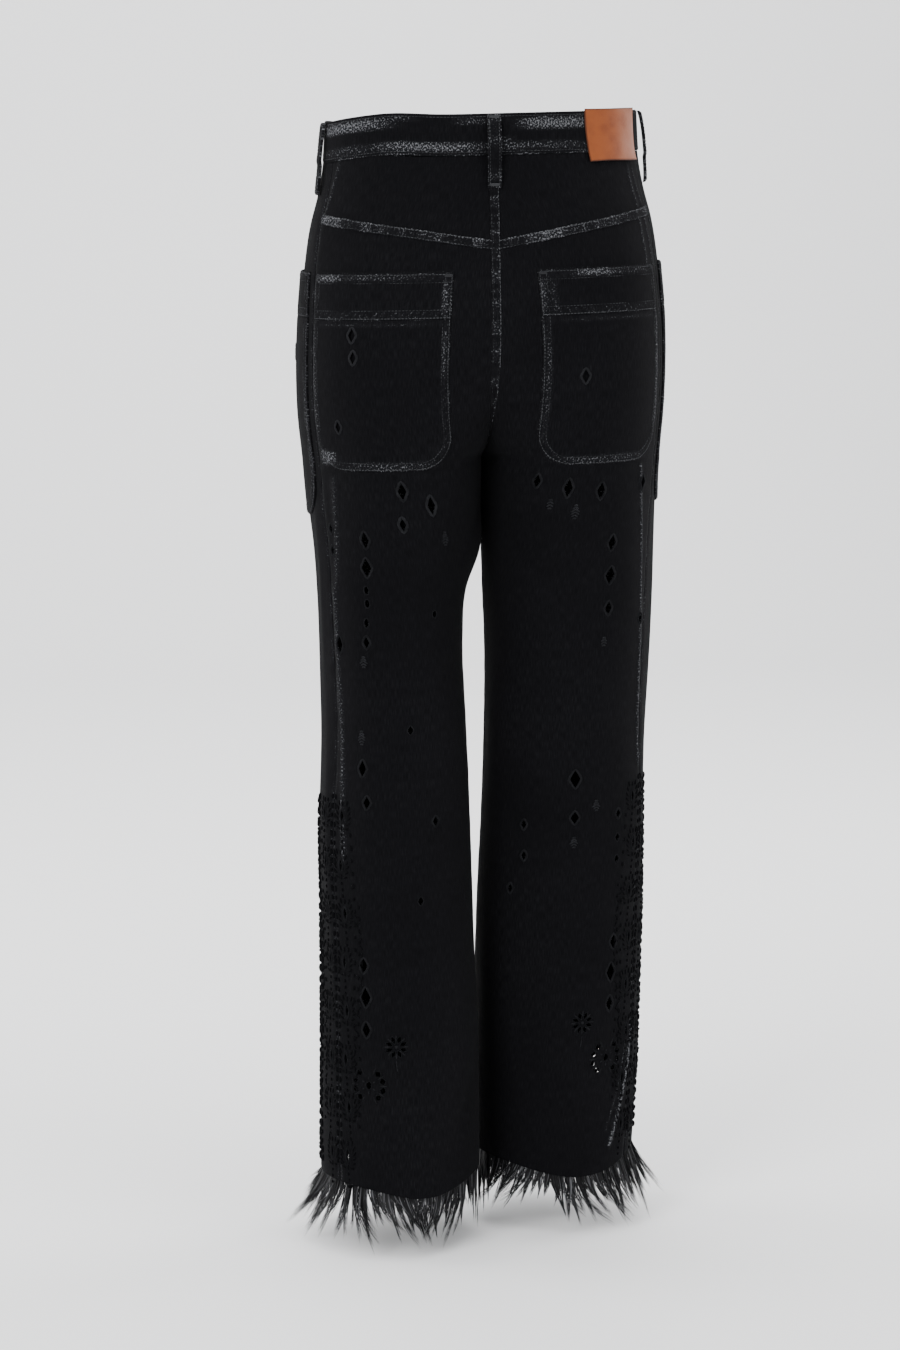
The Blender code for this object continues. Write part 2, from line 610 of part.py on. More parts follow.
def build_belt_loop(name, tube, turn):
    """A strap tacked down at both ends and bowed out between them."""
    steps = np.linspace(0, 1, 10)
    drop = tube.waist_drop(np.array(turn)) + 1.0 + LOOP["length"] * steps
    seat = np.where(drop < BAND_HEIGHT + 6, BAND_PROUD, 0.0) + 1.2 * SEAM_GAP
    lift = seat + LOOP["bow"] * np.clip(np.sin(math.pi * steps), 0, 1) ** 0.6
    turns = np.full(steps.shape, turn)
    normal = tube.normal(turns, drop)
    side = np.cross(normal, (0, 0, 1))
    side = side / np.linalg.norm(side, axis=1, keepdims=True) * LOOP["width"] / 2
    middle = tube.point(turns, drop)
    if abs(abs(turn) - math.pi) < 0.1:
        middle[:, 0] = 0.0
    faces = {}
    for key, height in (("inside", lift), ("outside", lift + LOOP["thickness"])):
        base = middle + normal * height[:, None]
        faces[key] = np.stack([base - side, base + side], 1).reshape(-1, 3)
    wall(name, faces["outside"], faces["inside"], grid_faces(len(steps), 2), DENIM)


def build_leather_patch(tube):
    """A bare leather patch over the waistband at the right back."""
    across = PATCH["from_side"] + np.linspace(0, PATCH["width"], 7)
    drops = np.linspace(0, PATCH["height"], 4) - PATCH["above"]
    drop, along = np.meshgrid(drops, across, indexing="ij")
    flat = np.stack([along.ravel(), drop.ravel()], 1)
    low = BAND_PROUD + SEAM_GAP
    wall("leather_patch", tube.laid("back", flat, low + PATCH["thickness"]),
         tube.laid("back", flat, low), grid_faces(len(drops), len(across)), LEATHER)


def build_fly(tube):
    """The lapped edge beside the centre front, curving in to the seam at its foot.

    It is drawn outwards from the centre front, and then placed from the side seam.
    """
    wide, edge = FLY["width"], -1.0
    top = FRONT_DIP + BAND_HEIGHT + 1.0
    straight = top + FLY["length"] - wide
    outline = [(edge, y) for y in np.linspace(straight + wide, top, 6)]
    outline += [(edge - wide / 2, top), (edge - wide, top)]
    outline += [(edge - wide, y) for y in np.linspace(top, straight, 4)[1:]]
    for turn in np.radians((25, 50, 72)):
        outline.append((edge - wide * math.cos(turn), straight + wide * math.sin(turn)))
    flat, faces = cut_sheet(outline, [], POCKET_GRID, GRID_DOWN)
    flat[:, 0] += tube.width("front", flat[:, 1])
    wall("fly_placket", tube.laid("front", flat, LAID_GAP + FLY["thickness"]),
         tube.laid("front", flat, LAID_GAP), faces, DENIM)


def build_button(tube):
    """A shank button's head, facing forwards on the waistband."""
    seat = tube.point(-math.pi, tube.waist_drop(np.array(-math.pi)) + BAND_HEIGHT / 2, BAND_PROUD)
    profile = ((BUTTON["radius"], 0.0), (BUTTON["radius"], BUTTON["rim"]),
               (BUTTON["radius"] * 0.8, BUTTON["rim"] + BUTTON["dome"] * 0.7),
               (BUTTON["radius"] * 0.4, BUTTON["rim"] + BUTTON["dome"]))
    turns = np.linspace(0, 2 * math.pi, 20, endpoint=False)
    points = [(r * math.cos(t), seat[1] - 0.5 - SEAM_GAP - h, seat[2] + r * math.sin(t))
              for r, h in profile for t in turns]
    faces = grid_faces(len(profile), len(turns), closed=True)
    faces += [list(range(len(turns))), list(range(len(points) - len(turns), len(points)))]
    make_object("waist_button", closed_mesh("waist_button", np.array(points), faces), GUNMETAL)


# ---------------------------------------------------------------- feather hems
def strand_plan(tube):
    """Angle, row, length, flare and lean of each strand round a hem.

    Strands alternate between an outer row that flares and an inner row that hangs. Lean varies
    slowly round the leg, so neighbours gather into locks without crossing. Beside the other leg
    they hang straight.
    """
    chance = np.random.default_rng(7 if tube.side == "left" else 11)
    turns = np.linspace(-math.pi, math.pi, STRANDS_A_LEG, endpoint=False) + 0.02
    for k, turn in enumerate(turns):
        outer_row = k % 2 == 0
        clear = (0.5 + 0.5 * math.cos(turn)) ** 0.7
        wave = 0.94 + 0.16 * math.sin(2 * turn + 1.0)
        length = STRAND_LENGTH * (wave + chance.uniform(-0.2, 0.16))
        flare = (0.46 if outer_row else 0.12) * clear + 0.01 + chance.uniform(0, 0.07) * clear
        lean = 0.17 * math.sin(3 * turn + 0.6) + 0.07 * math.sin(7 * turn)
        lean += chance.uniform(-0.02, 0.02)
        yield turn, outer_row, length, flare, lean


def trim_place(tube, turn, lift, below):
    """Point of the trim's strip: so far out of the cloth's face and below the hem."""
    place = tube.point(turn, tube.hem, lift)
    x, y = place[..., 0], place[..., 1]
    return np.stack([x, y, -tube.hem_drop(turn) - below - x * math.tan(HIP_ROLL)], -1)


def build_feather_trim(tube):
    """A strip inside the hem with tapered strands fused to its lower edge."""
    out_lift = -CLOTH - TRIM_GAP
    in_lift = out_lift - TRIM_THICKNESS
    turns = np.linspace(-math.pi, math.pi, 44, endpoint=False)
    count = len(turns)
    rings = [trim_place(tube, turns, lift, below)
             for lift, below in ((out_lift, 1.4), (out_lift, -TRIM_HEIGHT),
                                 (in_lift, -TRIM_HEIGHT), (in_lift, 1.4))]
    points = [tuple(p) for ring in rings for p in ring]
    faces = grid_faces(4, count, closed=True)
    loops = [list(range(count)), list(range(3 * count, 4 * count))]
    for turn, outer_row, length, flare, lean in strand_plan(tube):
        root_lift = out_lift - (0.8 if outer_row else TRIM_THICKNESS - 0.8)
        root = trim_place(tube, np.array(turn), root_lift, 1.4)
        out = tube.normal(np.array(turn), np.array(tube.hem)) * (1, 1, 0)
        out = out / np.linalg.norm(out)
        along = np.cross(out, (0, 0, 1))
        first = len(points)
        steps = ((0.0, 1.1, 0.45), (0.42, 2.1, 0.7))
        for share, half, thick in steps:
            fall = length * share
            middle = root + out * flare * fall * (0.6 + 0.4 * share) + along * lean * fall
            middle[2] -= fall
            for a, o in ((-half, thick), (half, thick), (0.0, -thick)):
                points.append(tuple(middle + along * a + out * o))
        tip = root + out * flare * length + along * lean * length
        tip[2] -= length * (1 - 0.25 * flare)
        points.append(tuple(tip))
        low, mid, end = (first, first + 3, first + 6)
        for a, b in ((0, 1), (1, 2), (2, 0)):
            faces.append([low + a, low + b, mid + b, mid + a])
            faces.append([mid + a, mid + b, end])
        loops.append([low, low + 1, low + 2])
    foot = [i for loop in loops for i in loop]
    edges, start = [], 0
    for loop in loops:
        edges += [(start + i, start + (i + 1) % len(loop)) for i in range(len(loop))]
        start += len(loop)
    flat = [Vector(points[i][:2]) for i in foot]
    found = delaunay_2d_cdt(flat, edges, [], 1, 1e-7)
    source = [foot[ids[0]] for ids in found[3]]
    flat = np.array([tuple(p) for p in found[0]])
    ring_flat = [np.array([points[i][:2] for i in loop]) for loop in loops]
    for face in found[2]:
        middle = flat[list(face)].mean(0)[None]
        holes = any(inside_outline(middle, hole)[0] for hole in ring_flat[1:])
        if not holes and inside_outline(middle, ring_flat[0])[0]:
            faces.append([source[i] for i in face])
    mesh = closed_mesh("feathers", np.array(points), faces)
    make_object(f"feather_trim_{tube.side}", mesh, FEATHER)


# ---------------------------------------------------------------- the whole garment
def clear_scene():
    for item in list(bpy.data.objects):
        bpy.data.objects.remove(item, do_unlink=True)
    group = bpy.data.collections.new(COLLECTION)
    bpy.context.scene.collection.children.link(group)


def main():
    clear_scene()
    tubes = {side: Tube(side) for side in ("left", "right")}
    build_waistband(tubes)
    for tube in tubes.values():
        build_yoke(tube)
        for panel in ("back", "front"):
            build_leg_panel(tube, panel)
            build_pocket(tube, panel)
        build_belt_loop(f"belt_loop_side_{tube.side}", tube, math.radians(6))
        build_belt_loop(f"belt_loop_front_{tube.side}", tube, math.radians(-112))
        build_feather_trim(tube)
    build_belt_loop("belt_loop_back", tubes["left"], math.pi)
    build_leather_patch(tubes["right"])
    build_fly(tubes["left"])
    build_button(tubes["left"])


main()
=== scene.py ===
"""Looks of wide-leg black jeans with cutwork, a leather patch and feather hems.

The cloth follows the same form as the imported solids. Lengths are in millimetres inside the
classes and become metres where a mesh is made. "Drop" is the distance below the waist. An angle
runs round one half of the garment: 0 at the side, +180 degrees at the centre back (and, lower
down, the inseam) the way round the back, and -180 at the centre front the way round the front.
A flat point is (across, drop): its distance from the side seam along the cloth, and its drop.
"""

import logging
import math
from dataclasses import dataclass, field
from enum import Enum
from itertools import zip_longest
from typing import Callable, NamedTuple, Optional, Sequence, TypeVar

import bpy
import numpy as np
from mathutils import Matrix, Vector
from mathutils.geometry import delaunay_2d_cdt


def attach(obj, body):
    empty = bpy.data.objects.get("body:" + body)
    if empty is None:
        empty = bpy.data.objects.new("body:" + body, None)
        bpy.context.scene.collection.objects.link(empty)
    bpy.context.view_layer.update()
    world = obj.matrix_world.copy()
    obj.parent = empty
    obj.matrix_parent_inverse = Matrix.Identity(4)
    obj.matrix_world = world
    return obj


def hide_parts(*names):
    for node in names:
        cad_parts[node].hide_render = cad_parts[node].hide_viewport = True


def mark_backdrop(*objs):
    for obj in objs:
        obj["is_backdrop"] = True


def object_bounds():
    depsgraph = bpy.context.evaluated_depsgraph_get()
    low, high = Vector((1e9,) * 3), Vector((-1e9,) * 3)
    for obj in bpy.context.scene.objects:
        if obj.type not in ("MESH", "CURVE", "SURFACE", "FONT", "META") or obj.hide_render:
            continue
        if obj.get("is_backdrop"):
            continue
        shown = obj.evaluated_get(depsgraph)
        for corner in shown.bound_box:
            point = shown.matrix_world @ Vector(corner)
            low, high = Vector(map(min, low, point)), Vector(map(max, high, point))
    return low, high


Array = np.ndarray
Amount = float | Array
Piece, Material, Socket = bpy.types.Object, bpy.types.Material, bpy.types.NodeSocket

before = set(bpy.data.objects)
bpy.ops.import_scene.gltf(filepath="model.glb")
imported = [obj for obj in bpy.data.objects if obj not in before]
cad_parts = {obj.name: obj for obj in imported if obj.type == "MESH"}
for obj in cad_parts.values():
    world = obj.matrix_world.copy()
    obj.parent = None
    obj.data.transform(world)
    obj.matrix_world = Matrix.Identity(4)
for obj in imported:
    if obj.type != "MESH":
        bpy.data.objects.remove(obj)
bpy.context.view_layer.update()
LOG = logging.getLogger("trousers")
MM = 0.001
TURN = 2 * math.pi
Row = TypeVar("Row")


def chart(kind: Callable[..., Row], *rows: tuple) -> tuple[Row, ...]:
    """Rows of plain numbers as named tuples."""
    return tuple(kind(*row) for row in rows)


class Side(Enum):
    """The wearer's side; the value is the sign of X there."""

    LEFT = 1
    RIGHT = -1

    @property
    def word(self) -> str:
        """The side's name as the CAD nodes spell it."""
        return self.name.lower()


class Panel(Enum):
    """Which half of a leg a piece lies on; the value is the sign of the angle there."""

    BACK = 1
    FRONT = -1

    @property
    def word(self) -> str:
        """The panel's name as the CAD nodes spell it."""
        return self.name.lower()


# ---- sizes shared by the pieces
OUTSEAM = 1034.0
BAND_HEIGHT = 39.0
CLOTH = 1.6
SEAM_GAP = 0.3
REVERSE_WEAR = 0.34  # the wrong side of black denim shows its grey weft
FRONT_DIP = 16.0
YOKE_SIDE, YOKE_CENTRE = 92.0, 119.0
CROTCH = 326.0
CROTCH_FADE = 60.0
BACK_RISE_START, FRONT_RISE_START = 199.0, 243.0
HIP_ROLL = math.radians(1.5)
HEM_SLOPE = 0.03
BAND_PROUD = 1.2
POCKET_CLOTH = 1.4
POCKET_BAND = 43.0


class Section(NamedTuple):
    """A level of the form; see Form for what each column does."""

    drop: float
    outer: float
    inner: float
    depth: float
    mid: float
    oval: float
    seam: float


class Lobe(NamedTuple):
    """How far a hem dips behind the calf, and where round the leg, in degrees."""

    depth: float
    middle: float
    spread: float


HIPS = chart(
    Section,
    (0, 150.5, 0.15, 91, 6, 0.90, 24),
    (41, 153.0, 0.15, 95, 7, 0.90, 24),
    (73, 158.5, 0.15, 99, 8, 0.86, 24),
    (102, 166.0, 0.15, 103, 9, 0.80, 24),
    (145, 172.5, 0.15, 109, 10, 0.66, 24),
    (189, 176.5, 0.15, 113, 11, 0.50, 25),
    (282, 177.0, 0.15, 113, 7, 0.20, 26),
)
LEGS = {
    Side.LEFT: chart(
        Section,
        (326, 172.5, 0.3, 110, 3, 0.08, 27),
        (373, 169.0, 0.9, 105, 2, 0.0, 28),
        (420, 164.5, 2.0, 99, 2, 0.0, 29),
        (460, 162.0, 15.5, 92, 3, 0.0, 30),
        (510, 160.0, 19.0, 87, 6, 0.0, 30),
        (595, 158.5, 16.0, 84, 11, 0.0, 30),
        (691, 162.5, 13.0, 84, 16, 0.0, 30),
        (793, 161.0, 10.5, 84, 21, 0.0, 31),
        (895, 161.5, 6.4, 85, 25, 0.0, 32),
        (1090, 164.0, 5.2, 87, 29, 0.0, 36),
    ),
    Side.RIGHT: chart(
        Section,
        (326, 174.5, 0.3, 109, 3, 0.08, 27),
        (373, 172.5, 0.9, 103, 1, 0.0, 28),
        (420, 171.5, 1.6, 94, -1, 0.0, 29),
        (460, 171.0, 3.0, 85, -4, 0.0, 30),
        (510, 169.5, 5.5, 81, -7, 0.0, 30),
        (595, 167.0, 6.0, 78, -11, 0.0, 30),
        (691, 167.0, 3.5, 78, -15, 0.0, 30),
        (793, 166.0, -1.0, 77, -19, 0.0, 31),
        (895, 164.0, -2.5, 78, -22, 0.0, 32),
        (1090, 156.5, -2.5, 80, -26, 0.0, 36),
    ),
}
HEM_LOBES = {Side.LEFT: Lobe(12.0, 104, 34), Side.RIGHT: Lobe(18.0, 74, 46)}


class Fold(NamedTuple):
    """A soft ridge, or a trough if its height is negative, along a line on the form.

    It runs from (angle in degrees, drop) to (end_angle, end_drop); spread is its half width.
    """

    angle: float
    drop: float
    end_angle: float
    end_drop: float
    spread: float
    height: float


FOLDS = {
    Side.LEFT: chart(
        Fold,
        (20, 350, 14, 540, 8, 1.6), (17, 560, 27, 850, 9, 1.5),
        (34, 380, 30, 700, 14, -1.0), (150, 318, 70, 372, 13, -2.2),
        (146, 345, 86, 420, 15, 1.8), (160, 372, 112, 452, 12, -1.6),
        (150, 640, 96, 690, 20, -1.8), (150, 700, 84, 742, 18, 1.6),
        (120, 760, 50, 812, 20, -1.4), (128, 900, 74, 1000, 16, 1.6),
        (150, 930, 118, 1030, 13, -1.8), (-30, 420, -24, 800, 10, 1.2),
        (-150, 330, -80, 372, 14, -2.0), (-140, 372, -70, 440, 15, 1.7),
        (-150, 640, -70, 700, 20, 1.6), (-120, 700, -60, 760, 16, -1.5),
        (-140, 900, -100, 1030, 16, 1.8), (-84, 880, -76, 1034, 15, -1.5),
    ),
    Side.RIGHT: chart(
        Fold,
        (12, 340, 3, 640, 8, 1.6), (30, 372, 22, 600, 15, -1.1),
        (8, 910, 30, 1020, 6, 1.7), (24, 640, 14, 880, 12, 1.0),
        (152, 312, 78, 356, 13, -2.2), (150, 340, 80, 404, 15, 1.9),
        (158, 380, 100, 470, 13, -1.5), (152, 610, 92, 664, 19, 1.6),
        (150, 672, 80, 716, 18, -1.8), (124, 770, 54, 800, 20, 1.2),
        (130, 880, 100, 1010, 18, -1.8), (96, 900, 74, 1030, 14, 1.5),
        (-26, 430, -22, 820, 11, 1.3), (-152, 322, -84, 360, 14, -2.1),
        (-142, 366, -66, 430, 15, 1.8), (-148, 650, -76, 690, 19, -1.6),
        (-120, 706, -66, 748, 18, 1.5), (-132, 890, -104, 1030, 15, -1.7),
        (-96, 900, -80, 1030, 16, 1.6),
    ),
}


def smooth_rows(xs: Array, ys: Array, x: Array) -> Array:
    """Cubic curve through (xs, ys), with each slope the mean of its neighbours'.

    Args:
        xs: rising places. ys: values there. x: where the curve is read.

    Returns:
        The curve's values at x.
    """
    slopes = np.gradient(ys, xs)
    x = np.clip(x, xs[0], xs[-1])
    i = np.clip(np.searchsorted(xs, x) - 1, 0, len(xs) - 2)
    step = xs[i + 1] - xs[i]
    t = (x - xs[i]) / step
    return ((1 + 2 * t) * (1 - t) ** 2 * ys[i] + t * (1 - t) ** 2 * step * slopes[i]
            + t * t * (3 - 2 * t) * ys[i + 1] + t * t * (t - 1) * step * slopes[i + 1])


def fade(value: Array, low: float, high: float) -> Array:
    """Smooth step: 0 at low and under, 1 at high and over, 3t^2 - 2t^3 between."""
    t = np.clip((np.asarray(value, float) - low) / (high - low), 0, 1)
    return t * t * (3 - 2 * t)


def hash_noise(x: Array, seed: float = 0.0) -> Array:
    """Smooth noise along a line, from -1 to 1: cosine steps between hashed whole numbers."""
    cell = np.floor(x)
    t = 0.5 - 0.5 * np.cos(math.pi * (x - cell))
    ends = [np.modf(np.sin((cell + k) * 127.1 + seed * 311.7) * 43758.5453)[0] for k in (0, 1)]
    return ends[0] * (1 - t) + ends[1] * t


def bell(away: Array, spread: float) -> Array:
    """1 at 0 and nearly 0 past twice the spread: exp(-(away / spread)^2)."""
    return np.exp(-(away / spread) ** 2)


def circle(count: int) -> Array:
    """Angles evenly spaced round a circle, from 0."""
    return np.linspace(0, TURN, count, endpoint=False)


def pairs(x: Amount, y: Amount) -> Array:
    """Flat points from their two columns, either of which may be one number."""
    return np.stack(np.broadcast_arrays(x, y), -1).astype(float)


class Form:
    """One half of the garment: the hips on one side and that side's leg.

    A level's ring runs from the inseam (inner) to the side (outer) in x, and depth in front of and
    behind mid in y. oval blends a half ellipse, for one leg, with half of the oval that both
    hips share. seam is the side seam's angle.
    """

    def __init__(self, side: Side) -> None:
        """Read the side's table and measure both panels along the cloth."""
        self.side = side
        rows = HIPS + LEGS[side]
        self.columns = {name: np.array([getattr(row, name) for row in rows], float)
                        for name in Section._fields}
        self.drops = np.arange(-10.0, OUTSEAM + 40.0, 10.0)
        self.lengths = {panel: self.measure(panel) for panel in Panel}

    def value(self, name: str, drop: Array) -> Array:
        """A column of the table at a drop."""
        return smooth_rows(self.columns["drop"], self.columns[name], np.asarray(drop, float))

    def section(self, angle: Array, drop: Array) -> tuple[Array, Array]:
        """x and y of the ring: x = centre + reach cos(a), y = mid +- depth times its shape.

        Args:
            angle: radians. drop: mm.

        Returns:
            x and y in mm.
        """
        outer, inner = self.value("outer", drop), self.value("inner", drop)
        depth, mid, oval = (self.value(name, drop) for name in ("depth", "mid", "oval"))
        centre, reach = (outer + inner) / 2, (outer - inner) / 2
        cosine, sine = np.cos(angle), np.abs(np.sin(angle))
        back = np.sin(angle) >= 0
        start = np.where(back, BACK_RISE_START, FRONT_RISE_START)
        under = np.clip((drop - start) / (CROTCH - start), 0, 1)
        beside = np.clip((drop - start) / (CROTCH + CROTCH_FADE - start), 0, 1)
        nearness = np.sqrt(1 - sine)
        rise = (nearness * np.sqrt(1 - under ** 2)
                + (1 - nearness) * (1 - beside ** 2 * (3 - 2 * beside)))
        inwards = 1 - (1 - rise) * (1 - sine)
        leg = np.where(cosine > 0, sine, inwards)
        whole = np.sqrt(np.maximum((1 - cosine) * (3 + cosine), 0)) / 2
        y = mid + np.where(back, 1, -1) * depth * ((1 - oval) * leg + oval * whole * inwards)
        return self.side.value * (centre + reach * cosine), y

    def surface(self, angle: Array, drop: Array) -> Array:
        """Points of the undraped form, in mm."""
        x, y = self.section(angle, drop)
        return np.stack([x, y, -drop - x * math.tan(HIP_ROLL)], -1)

    def normal(self, angle: Array, drop: Array) -> Array:
        """Unit normals out of the cloth, read just beside the centre seams."""
        angle = np.clip(angle, 0.02 - math.pi, math.pi - 0.02)
        around = self.surface(angle + 0.01, drop) - self.surface(angle - 0.01, drop)
        down = self.surface(angle, drop + 1.0) - self.surface(angle, drop - 1.0)
        out = -self.side.value * np.cross(around, down)
        return out / np.linalg.norm(out, axis=-1, keepdims=True)

    def drape(self, angle: Array, drop: Array) -> Array:
        """Height of the folds: each is h exp(-(distance / spread)^2) beside its own line.

        A slow ripple is added, and all of it fades out at the waistband and the centre seams.
        """
        degrees = np.degrees(angle)
        round_mm = np.radians(1.0) * 92.0
        height = 0.5 * np.sin(2.6 * angle + 0.011 * drop) * np.sin(0.017 * drop + 1.3 * angle)
        height += 0.35 * np.sin(5.3 * angle - 0.02 * drop + self.side.value)
        for fold in FOLDS[self.side]:
            start = np.array([fold.angle * round_mm, fold.drop])
            run = np.array([fold.end_angle * round_mm, fold.end_drop]) - start
            x, y = degrees * round_mm - start[0], drop - start[1]
            t = np.clip((x * run[0] + y * run[1]) / (run @ run), 0, 1)
            far = np.hypot(x - t * run[0], y - t * run[1])
            height = height + fold.height * bell(far, fold.spread) * (
                0.35 + 0.65 * np.sin(math.pi * np.clip(t, 0.02, 0.98)))
        return height * fade(180 - np.abs(degrees), 2, 16) * fade(drop, 60, 120)

    def point(self, angle: Array, drop: Array, lift: Amount = 0.0) -> Array:
        """Points of the draped cloth, moved out of its face by lift, in mm."""
        angle, drop = np.broadcast_arrays(np.asarray(angle, float), np.asarray(drop, float))
        out = np.asarray(lift, float) + self.drape(angle, drop)
        return self.surface(angle, drop) + self.normal(angle, drop) * out[..., None]

    def sweep(self, panel: Panel, part: Array, drop: Array) -> Array:
        """Angle at a part, 0 to 1, of the way from the side seam to the centre or inseam."""
        seam = np.radians(self.value("seam", drop))
        return seam + (panel.value * math.pi - seam) * part

    def measure(self, panel: Panel) -> Array:
        """Lengths along the cloth from the side seam, a row for each of self.drops."""
        part = np.linspace(0, 1, 121)
        drop, part = np.meshgrid(self.drops, part, indexing="ij")
        x, y = self.section(self.sweep(panel, part, drop), drop)
        steps = np.hypot(np.diff(x, axis=1), np.diff(y, axis=1))
        return np.concatenate([np.zeros((len(self.drops), 1)), np.cumsum(steps, 1)], 1)

    def width(self, panel: Panel, drop: Array) -> Array:
        """Width of a panel along the cloth."""
        return np.interp(drop, self.drops, self.lengths[panel][:, -1])

    def angle(self, panel: Panel, across: Array, drop: Array) -> Array:
        """Angle of flat points of a panel; where across is negative, of the other panel."""
        across, drop = np.broadcast_arrays(np.asarray(across, float), np.asarray(drop, float))
        found, beyond = np.zeros(across.shape), across < 0
        if beyond.any():
            found[beyond] = self.angle(Panel(-panel.value), -across[beyond], drop[beyond])
            found[~beyond] = self.angle(panel, across[~beyond], drop[~beyond])
            return found
        lengths = self.lengths[panel]
        parts = np.linspace(0, 1, lengths.shape[1])
        share = across / self.width(panel, drop)
        row = np.clip((drop - self.drops[0]) / 10.0, 0, len(self.drops) - 1.001)
        low = np.floor(row).astype(int)
        for near, weight in ((low, 1 - (row - low)), (low + 1, row - low)):
            for i in np.unique(near):
                here = near == i
                places = np.interp(share[here] * lengths[i, -1], lengths[i], parts)
                found[here] += weight[here] * places
        return self.sweep(panel, found, drop)

    def laid(self, panel: Panel, flat: Array, lift: Amount) -> Array:
        """Places of flat points on the draped cloth."""
        return self.point(self.angle(panel, flat[..., 0], flat[..., 1]), flat[..., 1], lift)

    def waist_drop(self, angle: Array) -> Array:
        """Drop of the waistband's top edge: it dips in front, and sags over the left hip."""
        _, y = self.section(angle, np.zeros_like(angle))
        drop = FRONT_DIP * np.clip((6 - y) / 94.0, 0, 1) ** 1.6
        if self.side is Side.LEFT:
            degrees = np.degrees(angle)
            drop += 4.0 * bell(degrees - 10, 28) - 2.6 * bell(degrees - 76, 24)
        return drop

    def hem_drop(self, angle: Array) -> Array:
        """Drop of the hem: sloping to the back, with a lobe behind the calf."""
        angle, lobe = np.asarray(angle, float), HEM_LOBES[self.side]
        _, y = self.section(angle, np.full(angle.shape, OUTSEAM))
        dip = lobe.depth * bell(np.degrees(angle) - lobe.middle, lobe.spread)
        return OUTSEAM + HEM_SLOPE * (y - self.value("mid", OUTSEAM)) + dip


def yoke_drop(part: Array) -> Array:
    """Drop of the yoke seam at a part of the way from the side seam to the centre back."""
    return YOKE_SIDE + (YOKE_CENTRE - YOKE_SIDE) * part ** 1.15


# ---- meshes
def triangles(rows: int, columns: int, closed: bool = False) -> Array:
    """Triangles of a grid of points stored row by row.

    Args:
        rows, columns: its size. closed: whether its last column joins its first.

    Returns:
        An array of (count, 3) indices.
    """
    r, c = np.meshgrid(np.arange(rows - 1), np.arange(columns if closed else columns - 1),
                       indexing="ij")
    a, b = (r * columns + c).ravel(), (r * columns + (c + 1) % columns).ravel()
    halves = (a, b, b + columns), (a, b + columns, a + columns)
    return np.concatenate([np.stack(half, 1) for half in halves])


def linked(piece: Piece) -> Piece:
    """The object, now in the scene."""
    bpy.context.scene.collection.objects.link(piece)
    return piece


@dataclass
class Patchwork:
    """Points, triangles and per-point values, gathered before they become one mesh."""

    points: list[Array] = field(default_factory=list)
    faces: list[Array] = field(default_factory=list)
    uvs: list[Array] = field(default_factory=list)
    wears: list[Array] = field(default_factory=list)
    count: int = 0

    def add(self, points: Array, faces: Array, uv: Optional[Array] = None, wear: Amount = 0.0) -> None:
        """Append a shell.

        Args:
            points: (n, 3) in mm. faces: (m, 3). uv: (n, 2) in mm along the cloth; x and z if
            it is left out. wear: how abraded each point is, 0 to 1.
        """
        points = points.reshape(-1, 3)
        self.points.append(points)
        self.faces.append(faces + self.count)
        self.uvs.append(points[:, [0, 2]] if uv is None else uv.reshape(-1, 2))
        self.wears.append(np.broadcast_to(np.asarray(wear, float).ravel(), (len(points),)))
        self.count += len(points)

    def wall(self, outside: Array, inside: Array, faces: Array, flat: Array, wear: Array,
             inner_wear: Optional[Array] = None) -> None:
        """Append two like sheets closed into one wall, with the same flat points on both."""
        inner_wear = wear if inner_wear is None else inner_wear
        points, shell = walled(outside, inside, faces)
        self.add(points, shell, np.tile(flat, (2, 1)), np.concatenate([wear, inner_wear]))

    def scatter(self, solids: Array, one: Array, uv: Array, wear: Amount) -> None:
        """Append many like small solids: solids is (count, points of one, 3), one its faces."""
        count, size = solids.shape[:2]
        faces = one[None] + size * np.arange(count)[:, None, None]
        self.add(solids, faces.reshape(-1, 3), uv, wear)

    def make(self, name: str, material: Material, slot: str, *nodes: str, sharp: float = 50.0) -> Piece:
        """Turn what was gathered into a piece that rides on the garment.

        Args:
            name: the piece's name. material: its finish. slot: not used.
            nodes: the CAD nodes that it stands for. sharp: edges over this angle stay sharp.

        Returns:
            The new object.
        """
        mesh = bpy.data.meshes.new(name)
        faces = np.concatenate(self.faces)
        mesh.from_pydata(np.concatenate(self.points) * MM, [], faces)
        corner = np.zeros(len(mesh.loops), np.int32)
        mesh.loops.foreach_get("vertex_index", corner)
        uv = mesh.uv_layers.new(name="cloth")
        uv.data.foreach_set("uv", (np.concatenate(self.uvs)[corner] * MM).ravel())
        wear = mesh.attributes.new("wear", "FLOAT", "POINT")
        wear.data.foreach_set("value", np.concatenate(self.wears).astype(np.float32))
        mesh.materials.append(material)
        mesh.shade_smooth()
        mesh.set_sharp_from_angle(angle=math.radians(sharp))
        piece = linked(bpy.data.objects.new(name, mesh))
        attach(piece, "root")
        if nodes:
            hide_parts(*nodes)
        LOG.info("%s: %d triangles", name, len(faces))
        return piece


def walled(outside: Array, inside: Array, faces: Array
           ) -> tuple[Array, Array]:
    """Close two like sheets into one wall, with its rim round every edge.

    Args:
        outside, inside: (n, 3) points. faces: (m, 3), the same on both.

    Returns:
        Points (2n, 3) and faces that point outwards.
    """
    count = len(outside)
    edges = np.concatenate([faces[:, [0, 1]], faces[:, [1, 2]], faces[:, [2, 0]]])
    _, first, seen = np.unique(np.sort(edges, 1), axis=0, return_index=True, return_counts=True)
    a, b = edges[first[seen == 1]].T
    rim = np.concatenate([np.stack([b, a, a + count], 1), np.stack([b, a + count, b + count], 1)])
    shell = np.concatenate([faces, faces[:, ::-1] + count, rim])
    points = np.concatenate([outside, inside])
    return points, outwards(points, shell)


